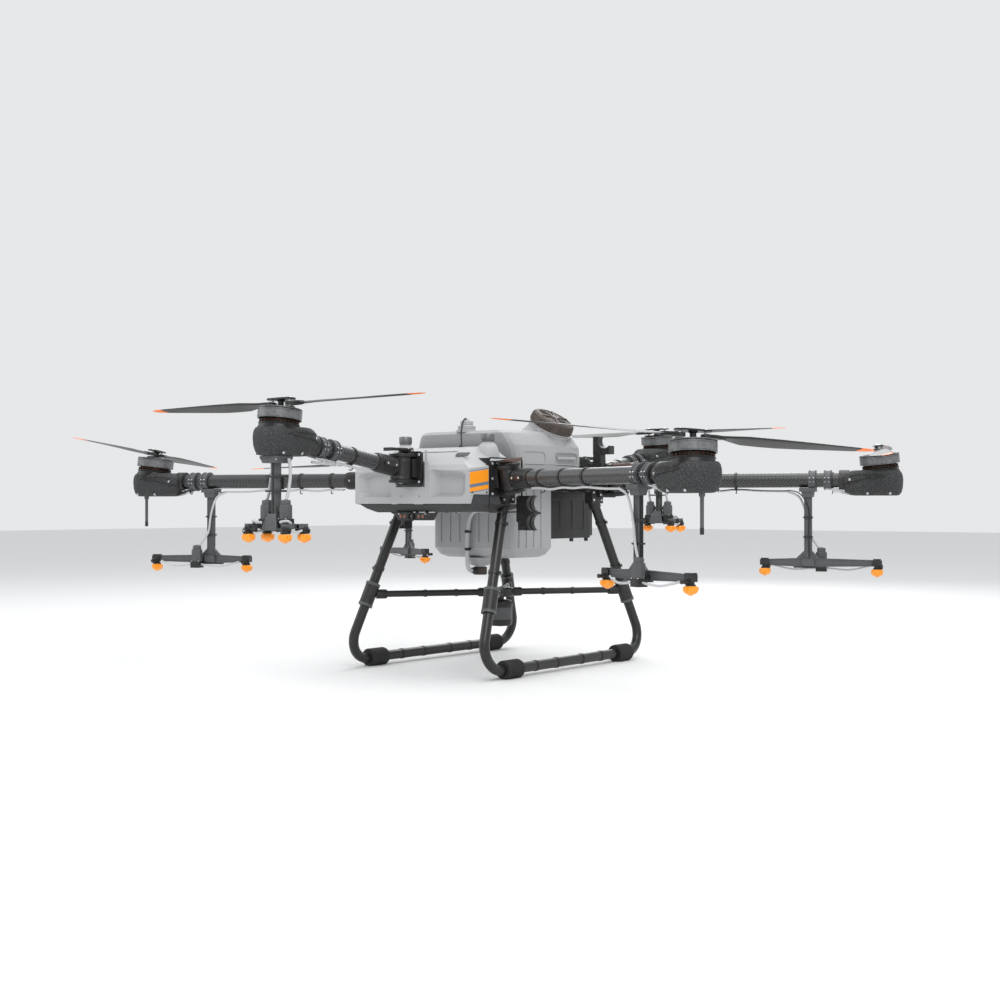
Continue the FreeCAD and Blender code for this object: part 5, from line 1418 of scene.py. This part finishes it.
def build_socket(arm):
    """Hinge fork: rounded ears with ribs, pin, backing plate, bolts and lever lugs."""
    side_arm = arm not in END_ARMS
    hinge = hinge_matrix(arm)
    shape = Shape("fork_" + arm)
    ear = [(0.0325 * math.cos(t), 0.0325 * math.sin(t)) for t in (math.radians(-100 + 200 * k / 20) for k
        in range(21))]
    back = 0.03 if side_arm else 0.036
    ear += [(-back, 0.0295), (-back, -0.0295)]
    for low, high in ((0.0305, 0.0385), (-0.0385, -0.0305)):
        shape.add(extrude(ear, low, high), "frame_composite", hinge)
        outer = high if high > 0 else low
        way = 1 if high > 0 else -1
        boss = (0, outer - way * 0.001, outer + way * 0.0012)
        shape.add(lathe([(0, boss[1]), (0.0135, boss[1]), (0.0125, boss[2]), (0, boss[2])],
            sides=36), "dark_alloy", hinge)
        shape.add(lathe([(0, boss[2]), (0.0062, boss[2]), (0.0055, boss[2] + way * 0.0014),
            (0, boss[2] + way * 0.0014)], sides=6), "bright_alloy", hinge)
        for y in (-0.0245, 0.0245):
            shape.add(block((0.026, 0.0035, 0.002), (-0.015, y, outer + way * 0.0008)),
                "frame_composite", hinge)
    shape.add(rod(0.0068, -0.038, 0.038, sides=28), "bright_alloy", hinge)
    for y in (-0.018, 0.018):
        lug = [(-0.027, 0.0385), (-0.013, 0.0385), (-0.0135, 0.049), (-0.016, 0.054), (-0.0235, 0.0545),
            (-0.0265, 0.05)]
        shape.add(extrude(lug, -y - 0.0038, -y + 0.0038, hinge @ UPRIGHT), "frame_composite")
    shape.add(rod(0.0028, -0.0225, 0.0225, (-0.02, 0, 0.047), (0, 1, 0), 16), "bright_alloy", hinge)
    sx, sy = (math.copysign(1, c) for c in hinge.translation.xy)
    if side_arm:
        face = at(sx * 0.2046, sy * 0.255, 0.53) @ FACE_X
        shape.add(extrude(rounded_rect(0.0438, 0.0478, 0.008), -0.0024, 0.0024, face), "frame_composite")
        shape.add(extrude(rounded_rect(0.033, 0.026, 0.006), -0.003, 0.003, face), "frame_composite")
        for dy in (-0.038, 0.038):
            for dz in (-0.04, 0.0, 0.04):
                shape.screw(0.0038, 0.0026, (sx * 0.2068, sy * 0.255 + dy, 0.53 + dz), (sx, 0, 0))
        for dy in (-0.03, 0.03):
            shape.add(block((0.016, 0.0045, 0.05), (sx * 0.214, sy * 0.255 + dy, 0.53),
                (0.4, 1)), "frame_composite")
        latch = hinge @ at(-0.016, 0.0, 0.0)
        shape.add(block((0.01, 0.03, 0.052), (-0.0165, 0, 0)), "lever_brown", latch)
        for k in range(5):
            shape.add(block((0.002, 0.026, 0.0035), (-0.0112, 0, -0.018 + 0.009 * k)), "nylon_black", latch)
    else:
        y = sy * 0.391
        face = at(0, y, 0.558) @ turn_x(math.pi / 2)
        shape.add(extrude(rounded_rect(0.0458, 0.0458, 0.009), -0.0039, 0.0039, face), "frame_composite")
        neck = [(-0.035, 0.527), (-0.035, 0.577), (0.035, 0.577), (0.035, 0.527)]
        low, high = sorted((sy * -0.3085, sy * -0.388))
        shape.add(extrude(neck, low, high, UPRIGHT), "frame_composite")
        for dx in (-0.038, 0.038):
            for dz in (-0.036, 0.036):
                shape.screw(0.004, 0.0028, (dx, y + sy * 0.0038, 0.558 + dz), (0, sy, 0))
        for dx in (-0.03, 0.03):
            shape.add(block((0.0045, 0.022, 0.05), (dx, y + sy * 0.012, 0.558)), "frame_composite")
    shape.build("airframe", ("arm_sockets",) if arm == "front" else (), "frame_composite",
        bevel=0.8, segments=2)


def build_cradles():
    """Black hooks for the stowed tubes, with soft pads in the saddles."""
    for side, name in ((1, "right"), (-1, "left")):
        low = loose("cradle_low_" + name, block((0.052, 0.034, 0.094), (side * 0.235, -0.167,
            0.438)), "nylon_black")
        cuts = []
        for z in (0.412, 0.464):
            cuts.append(rod(0.0235, -0.05, 0.05, (side * 0.262, -0.167, z), (0, 1, 0), 40))
        cuts.append(block((0.016, 0.05, 0.02), (side * 0.219, -0.167, 0.391)))
        cut_with(low, cuts)
        finish_cut(low, "airframe", ("arm_cradles",) if side > 0 else (), 1.4, 3)
        high = loose("cradle_high_" + name, block((0.058, 0.026, 0.052), (side * 0.228, 0.2,
            0.634)), "nylon_black")
        cuts = [rod(0.0225, -0.05, 0.05, (side * 0.238, 0.2, 0.648), (0, 1, 0), 40),
            block((0.045, 0.06, 0.045), (side * 0.262, 0.2, 0.655))]
        cut_with(high, cuts)
        finish_cut(high, "airframe", (), 1.4, 3)
        trim = Shape("cradle_trim_" + name)
        trim.add(block((0.006, 0.034, 0.07), (side * 0.206, -0.167, 0.448)), "nylon_black")
        trim.add(block((0.03, 0.026, 0.05), (side * 0.215, 0.197, 0.597), (0.8, 1)), "nylon_black")
        trim.add(block((0.014, 0.026, 0.018), (side * 0.2095, 0.192, 0.565)), "nylon_black")
        for z, centre_x, y in ((0.412, 0.262, -0.167), (0.464, 0.262, -0.167)):
            arc = [(side * centre_x + 0.0228 * math.cos(t), y, z + 0.0228 * math.sin(t)) for t
                in (math.radians(90 + side * (20 + 140 * k / 12)) for k in range(13))]
            trim.add(hose(arc, 0.0018, 8, 2), "sleeve_rubber")
        for y in (-0.176, -0.158):
            trim.screw(0.0034, 0.0024, (side * 0.2088, y, 0.476), (side, 0, 0))
        for y in (0.184, 0.2):
            trim.screw(0.0034, 0.0024, (side * 0.2162, y, 0.565), (side, 0, 0))
        trim.build("airframe", slot="frame_composite", bevel=0.8)


def build_pumps():
    """Two diaphragm pumps over the tray with ribbed motors and hose tails."""
    shape = Shape("pump_pair")
    for side in BOTH:
        x, y = side * 0.07, -0.215
        profile = [(0, 0.446), (0.0285, 0.446), (0.0298, 0.448)]
        for k in range(7):
            z = 0.45 + 0.0075 * k
            profile += [(0.0298, z), (0.0298, z + 0.0045), (0.028, z + 0.005), (0.028, z + 0.007)]
        profile += [(0.0295, 0.5035), (0.027, 0.5075), (0, 0.5075)]
        shape.add(lathe(profile, (x, y, 0), sides=44), "dark_alloy")
        shape.add(extrude(rounded_rect(0.0245, 0.0245, 0.007, centre=(x, y)), 0.5075, 0.5265),
            "nylon_black")
        for sx, sy in QUARTERS:
            shape.screw(0.0026, 0.0016, (x + sx * 0.019, y + sy * 0.019, 0.5265))
    shape.build("airframe", ("spray_pumps",), "frame_composite", bevel=0.4)
    box = Shape("controller_box")
    box.add(extrude(rounded_rect(0.06, 0.039, 0.006, centre=(0, -0.25)), 0.5415, 0.574), "dark_alloy")
    for k in range(9):
        box.add(block((0.0025, 0.064, 0.0028), (-0.044 + 0.011 * k, -0.25, 0.5735)), "dark_alloy")
    for x in (-0.04, -0.02, 0.02, 0.04):
        box.add(block((0.013, 0.004, 0.009), (x, -0.2885, 0.556)), "nylon_black")
    box.build("airframe", ("flight_controller",), "frame_composite", bevel=0.5)


# ------------------------------------------------------------------ battery

def build_bay():
    """Open-ended battery bay with stiffening ribs, corner posts and hangers."""
    y0, y1, z0, z1, half = 0.084, 0.3, 0.361, 0.5, 0.11
    item = loose("bay_body", block((2 * half, y1 - y0, z1 - z0), (0, (y0 + y1) / 2,
        (z0 + z1) / 2)), "nylon_black")
    cuts = [block((2 * half - 0.008, y1 - y0, z1 - z0 - 0.008), (0, (y0 + y1) / 2 + 0.004, (z0 + z1) / 2))]
    for side in BOTH:
        for y in (0.125, 0.185, 0.245):
            cuts.append(extrude(rounded_rect(0.022, 0.045, 0.01), -0.0016, 0.0016, at(side * 0.11, y,
                0.4305) @ FACE_X))
    cut_with(item, cuts)
    finish_cut(item, "airframe", ("battery_bay",), 1.0, 2)
    trim = Shape("bay_trim")
    for side in BOTH:
        for y in (0.212, 0.288):
            x = side * 0.1035
            trim.add(lathe([(0, 0.351), (0.005, 0.351), (0.0062, 0.3535), (0.0062, 0.366), (0, 0.366)],
                (x, y, 0), sides=24), "nylon_black")
            trim.add(rod(0.0062, z0, z1, (side * 0.1042, y, 0), sides=24), "nylon_black")
        trim.add(block((0.008, 0.024, 0.062), (side * 0.106, 0.288, 0.531)), "nylon_black")
        for z in (0.515, 0.545):
            trim.screw(0.0034, 0.0016, (side * 0.1098, 0.288, z), (side, 0, 0))
        trim.add(block((0.004, 0.19, 0.006), (side * 0.1095, 0.19, 0.492)), "nylon_black")
    trim.build("airframe", slot="frame_composite", bevel=0.6)


def build_battery():
    """Battery pack: ribbed end cap, handle, charge lights and recess for its button."""
    half, low, high, y0, y1 = 0.104, 0.367, 0.494, 0.088, 0.3215
    item = loose("battery_case", block((2 * half, y1 - y0, high - low), (0, (y0 + y1) / 2,
        (low + high) / 2)), "battery_plastic")
    cuts = [rod(0.0103, -0.008, 0.01, (0, 0.322, 0.401), (0, 1, 0), 40),
        extrude(rounded_rect(0.074, 0.014, 0.006), -0.0022, 0.003, at(0, y1, 0.44) @ turn_x(math.pi / 2))]
    cut_with(item, cuts)
    finish_cut(item, "battery_pack", ("battery",), 2.2, 3)
    trim = Shape("battery_trim")
    for x in (-0.054, 0.054):
        trim.add(block((0.012, 0.025, 0.019), (x, 0.3345, 0.47)), "battery_plastic")
    trim.add(hose([(-0.056, 0.343, 0.47), (-0.02, 0.344, 0.47), (0.02, 0.344, 0.47),
        (0.056, 0.343, 0.47)], 0.0034, 14), "nylon_black")
    for k in range(5):
        trim.add(block((0.0075, 0.0022, 0.0042), (-0.03 + 0.015 * k, 0.3202, 0.44)), "led_amber")
    for side in BOTH:
        for k in range(5):
            trim.add(block((0.0045, 0.002, 0.07), (side * (0.06 + 0.008 * k), 0.322, 0.405)), "nylon_black")
    trim.build("battery_pack", slot="battery_plastic", bevel=0.6)
    key = Shape("battery_push")
    key.add(lathe([(0, 0), (0.0099, 0), (0.0099, 0.0066), (0.009, 0.0076), (0.006, 0.0068), (0, 0.0064)],
        (0, 0.318, 0.401), (0, 1, 0), 44), "accent_plastic")
    key.add(bush(0.0062, 0.0046, 0.0062, 0.0072, (0, 0.318, 0.401), (0, 1, 0), 32), "hose_white")
    key.build("battery_key", ("battery_button",), "button_plastic", bevel=0.3)


# ------------------------------------------------------------------ landing gear

def build_gear():
    """Bent satin tubes with heads, sleeves, clips, cross brace and hub."""
    foot_reach = 0.391
    for side, name in ((1, "right"), (-1, "left")):
        shape = Shape("leg_" + name)
        top, foot = Vector((side * 0.182, 0.21, 0.478)), Vector((side * 0.246, foot_reach, 0.024))
        corners = [Vector((top.x, -top.y, top.z)), Vector((foot.x, -foot.y, foot.z)), foot, top]
        path = [corners[0]]
        for i in (1, 2):
            back = (corners[i - 1] - corners[i]).normalized()
            ahead = (corners[i + 1] - corners[i]).normalized()
            half = back.angle(ahead) / 2
            bend = 0.06
            reach = bend / math.tan(half)
            centre = corners[i] + (back + ahead).normalized() * (bend / math.sin(half))
            enter, leave = corners[i] + back * reach, corners[i] + ahead * reach
            path += [corners[i - 1].lerp(enter, s) for s in (0.25, 0.5, 0.75, 0.98)] if i == 1 else []
            start, end = enter - centre, leave - centre
            for k in range(13):
                path.append(centre + (start * math.sin((1 - k / 12) * start.angle(end)) + end
                    * math.sin(k / 12 * start.angle(end))) / math.sin(start.angle(end)))
            if i == 1:
                path += [leave.lerp(corners[2], s) for s in (0.2, 0.4, 0.6, 0.8)]
        path += [path[-1].lerp(top, s) for s in (0.25, 0.5, 0.75, 1.0)]
        shape.add(hose(path, 0.0139, 24, 2), "leg_alloy")
        axis = (top - foot).normalized()
        for way in BOTH:
            lean = Vector((axis.x, axis.y * way, axis.z))
            foot_place = Vector((foot.x, foot.y * way, foot.z))
            head = Vector((side * 0.186, way * 0.212, 0.4846))
            shape.add(block((0.026, 0.056, 0.04), head), "nylon_black")
            shape.add(bush(0.0172, 0.014, -0.024, 0.008, Vector((top.x, top.y * way, top.z)) - lean
                * 0.004, lean, 28), "nylon_black")
            for dy in (-0.019, 0.019):
                for dz in (-0.01, 0.012):
                    shape.screw(0.0036, 0.0022, (side * 0.199, head.y + dy, head.z + dz), (side, 0, 0))
            share = (0.174 - foot.z) / (top.z - foot.z)
            grip = foot_place.lerp(Vector((top.x, top.y * way, top.z)), share)
            shape.add(bush(0.0196, 0.0141, 0.0, 0.07, grip, lean, 36), "nylon_black")
            for h in (0.004, 0.066):
                shape.add(bush(0.0206, 0.019, h - 0.004, h + 0.004, grip, lean, 36), "nylon_grey")
            for h in (0.11, 0.25):
                shape.add(bush(0.0158, 0.0139, h, h + 0.01, grip, lean, 28), "nylon_black")
                place = grip + lean * (h + 0.005)
                shape.add(block((0.01, 0.01, 0.009), place + Vector((side * 0.0165, 0, 0))), "nylon_black")
        for y in (-0.155, -0.06, 0.06, 0.155):
            shape.add(bush(0.0152, 0.0139, -0.005, 0.005, (side * 0.246, y, 0.024), (0, 1, 0),
                28), "nylon_black")
        shape.build("airframe", ("landing_gear",) if side > 0 else (), "leg_alloy", bevel=0.6)
    cross = Shape("cross_brace")
    cross.add(lathe([(0, 0.194), (0.036, 0.194), (0.0395, 0.197), (0.0395, 0.217), (0.036, 0.22),
        (0.02, 0.22), (0.018, 0.2185), (0, 0.2185)], sides=56), "nylon_black")
    for k in range(8):
        turn = turn_z(FULL_TURN * (k + 0.5) / 8)
        cross.screw(0.0032, 0.0022, (0.029, 0, 0.2198), matrix=turn)
    share = (0.207 - 0.024) / (0.478 - 0.024)
    px, py = 0.246 + (0.182 - 0.246) * share, 0.391 + (0.21 - 0.391) * share
    for sx, sy in QUARTERS:
        out = Vector((px * sx, py * sy, 0)).normalized()
        end = math.hypot(px, py) - 0.02
        cross.add(rod(0.0092, 0.034, end, (0, 0, 0.207), out, 28), "leg_alloy")
        cross.add(lathe([(0, 0.03), (0.013, 0.03), (0.013, 0.062), (0.0115, 0.066), (0, 0.066)],
            (0, 0, 0.207), out, 28), "nylon_black")
        cross.add(lathe([(0, end - 0.03), (0.0125, end - 0.03), (0.0135, end - 0.026), (0.0135, end),
            (0, end)], (0, 0, 0.207), out, 28), "nylon_black")
        for share_at in (0.35, 0.6):
            cross.add(bush(0.0108, 0.0091, end * share_at, end * share_at + 0.008, (0, 0, 0.207), out,
                24), "nylon_black")
    cross.build("airframe", slot="leg_alloy", bevel=0.5)


def build_sleeves():
    """Rubber foot sleeves, ribbed, with flat soles."""
    for sx, sy in QUARTERS:
        shape = Shape("foot_%s_%s" % ("right" if sx > 0 else "left", "tail" if sy > 0 else "nose"))
        rings, samples = [], 44
        stations = [(-0.034, 0.0225), (-0.033, 0.024)]
        for k in range(6):
            y = -0.031 + 0.0104 * k
            stations += [(y, 0.0254), (y + 0.0072, 0.0254), (y + 0.008, 0.0243), (y + 0.0096, 0.0243)]
        stations += [(0.033, 0.024), (0.034, 0.0225)]
        for y, radius in stations:
            ring = []
            for k in range(samples):
                t = FULL_TURN * k / samples
                z = 0.024 + radius * math.sin(t)
                ring.append((sx * 0.246 + radius * math.cos(t), sy * 0.264 + y, max(z, 0.0001)))
            rings.append(ring)
        shape.add(loft(rings), "sleeve_rubber")
        shape.build("airframe", ("skid_sleeves",) if (sx, sy) == (1, 1) else (), "sleeve_rubber", bevel=0.3)


def build_radar():
    """Rotating drum radar: smooth window band, ribbed foot and stem."""
    shape = Shape("radar_drum")
    shape.add(lathe([(0, 0.109), (0.029, 0.109), (0.033, 0.1105), (0.0352, 0.114), (0.0352, 0.1195),
        (0.0365, 0.1205), (0.0365, 0.126), (0.0352, 0.127), (0, 0.127)], sides=72), "nylon_black")
    shape.add(lathe([(0, 0.127), (0.0356, 0.127), (0.036, 0.128), (0.036, 0.162), (0.0356, 0.163),
        (0, 0.163)], sides=72), "nylon_grey")
    shape.add(lathe([(0, 0.163), (0.0366, 0.163), (0.0366, 0.17), (0.0354, 0.1712), (0.0354, 0.178),
        (0.032, 0.1828), (0.028, 0.1838), (0, 0.1838)], sides=72), "nylon_black")
    shape.add(rod(0.0118, 0.1838, 0.1934, sides=36), "dark_alloy")
    for k in range(28):
        turn = turn_z(FULL_TURN * k / 28)
        shape.add(block((0.0016, 0.003, 0.0058), (0.0357, 0, 0.1745)), "nylon_black", turn)
    for k in range(4):
        turn = turn_z(FULL_TURN * (k + 0.5) / 4)
        shape.screw(0.0026, 0.0012, (0.024, 0, 0.1092), (0, 0, -1), turn)
    shape.build("radar", ("radar_head",), "frame_composite", bevel=0.4)


# ------------------------------------------------------------------ stage

def build_stage():
    """Pale floor, soft lights and camera."""
    studio = bpy.context.scene.spray_drone_studio
    bpy.ops.mesh.primitive_plane_add(size=40, location=(0, 0, 0))
    floor = bpy.context.object
    floor.name = "studio_floor"
    material, tree, shader = principled("floor_pale")
    noise = node_of(tree, "ShaderNodeTexNoise")
    noise.inputs["Scale"].default_value = 2.0
    wire(tree, mix_colour(tree, noise.outputs[0], (0.74, 0.74, 0.74, 1), (0.78, 0.78, 0.78, 1)),
        shader.inputs["Base Color"])
    shader.inputs["Roughness"].default_value = 0.75
    floor.data.materials.append(material)
    for name, place, size, power, target in (("key_light", (2.6, -2.6, 3.6), 3.2, 92, (0, 0, 0.4)),
            ("fill_light", (-3.2, -2.2, 2.6), 3.6, 34, (0, 0, 0.4)), ("top_light", (0.2, 0.6, 4.2), 3.4,
            78, (0, 0, 0.3)), ("rim_light", (-1.4, 3.4, 2.4), 2.6, 44, (0, 0, 0.4))):
        data = bpy.data.lights.new(name, "AREA")
        data.shape, data.size, data.energy = "DISK", size, power
        lamp = bpy.data.objects.new(name, data)
        bpy.context.scene.collection.objects.link(lamp)
        lamp.location = place
        lamp.rotation_mode = "QUATERNION"
        lamp.rotation_quaternion = (Vector(place) - Vector(target)).to_track_quat("Z", "Y")
    world = bpy.data.worlds.new("studio_world")
    bpy.context.scene.world = world
    world.use_nodes = True
    back = world.node_tree.nodes["Background"]
    back.inputs[0].default_value = (0.93, 0.945, 0.96, 1)
    back.inputs[1].default_value = studio.brightness
    bpy.context.scene.view_settings.view_transform = "Standard"
    data = bpy.data.cameras.new("studio_camera")
    camera = bpy.data.objects.new("studio_camera", data)
    bpy.context.scene.collection.objects.link(camera)
    data.lens, data.sensor_width, data.clip_end = studio.lens, 36, 100
    look = Vector((-math.sin(studio.azimuth) * math.cos(studio.pitch), math.cos(studio.azimuth)
        * math.cos(studio.pitch), math.sin(studio.pitch)))
    camera.location = studio.camera_place
    camera.rotation_mode = "QUATERNION"
    camera.rotation_quaternion = look.to_track_quat("-Z", "Y")
    data.dof.use_dof = False
    bpy.context.scene.camera = camera


# ------------------------------------------------------------------ add-on

def piece_operator(name, label, work):
    """Operator class that runs one builder over its pieces."""
    def execute(self, context):
        work()
        return {"FINISHED"}
    return type("SPRAYDRONE_OT_" + name, (bpy.types.Operator,),
        {"bl_idname": "spray_drone." + name, "bl_label": label, "__doc__": work.__doc__,
        "execute": execute})


def each_arm(build, arms=ARMS):
    def work():
        for arm in arms:
            build(arm)
    work.__doc__ = build.__doc__
    return work


def build_blades():
    """Folding blades."""
    for arm in ARMS:
        for letter in "ab":
            build_blade(arm, letter)


def build_booms():
    """Spray booms, end clusters, hoses and nozzles."""
    for arm in ARMS:
        (build_cluster if arm in END_ARMS else build_side_boom)(arm)


STEPS = (("finish", "Finishes", build_materials), ("shell", "Nose shell", build_shell),
    ("tray", "Belly tray", build_tray), ("nose_camera", "Camera", build_camera),
    ("aerials", "Aerials", build_aerials), ("tank", "Tank", build_tank), ("cap", "Filler cap", build_cap),
    ("fittings", "Plumbing", build_fittings), ("frame", "Frame", build_frame),
    ("sockets", "Sockets", each_arm(build_socket)), ("cradles", "Cradles", build_cradles),
    ("pumps", "Pumps", build_pumps), ("bay", "Battery bay", build_bay), ("battery", "Battery",
    build_battery), ("gear", "Landing gear", build_gear), ("sleeves", "Sleeves", build_sleeves),
    ("radar", "Radar", build_radar), ("tubes", "Arm tubes", each_arm(build_arm_tube)),
    ("pods", "Motor pods", each_arm(build_pod)), ("rotors", "Rotors", each_arm(build_rotor)),
    ("blades", "Blades", build_blades), ("booms", "Booms", build_booms), ("levers", "Levers",
    each_arm(build_lever)), ("stage", "Stage", build_stage),)
OPERATORS = [piece_operator(*step) for step in STEPS]


class SPRAYDRONE_PT_panel(bpy.types.Panel):
    """Lists every building step."""

    bl_idname = "SPRAYDRONE_PT_panel"
    bl_label = "Spray drone"
    bl_space_type = "VIEW_3D"
    bl_region_type = "UI"
    bl_category = "Spray drone"

    def draw(self, context):
        for kind in OPERATORS:
            self.layout.operator(kind.bl_idname)


CLASSES = [SprayDroneFinish, SprayDroneStudio, *OPERATORS, SPRAYDRONE_PT_panel]


def register():
    for kind in CLASSES:
        bpy.utils.register_class(kind)
    bpy.types.Scene.spray_drone_finish = bpy.props.PointerProperty(type=SprayDroneFinish)
    bpy.types.Scene.spray_drone_studio = bpy.props.PointerProperty(type=SprayDroneStudio)


def unregister():
    del bpy.types.Scene.spray_drone_studio
    del bpy.types.Scene.spray_drone_finish
    for kind in reversed(CLASSES):
        bpy.utils.unregister_class(kind)


def main():
    register()
    for name, *_ in STEPS:
        getattr(bpy.ops.spray_drone, name)()


if __name__ == "__main__":
    main()
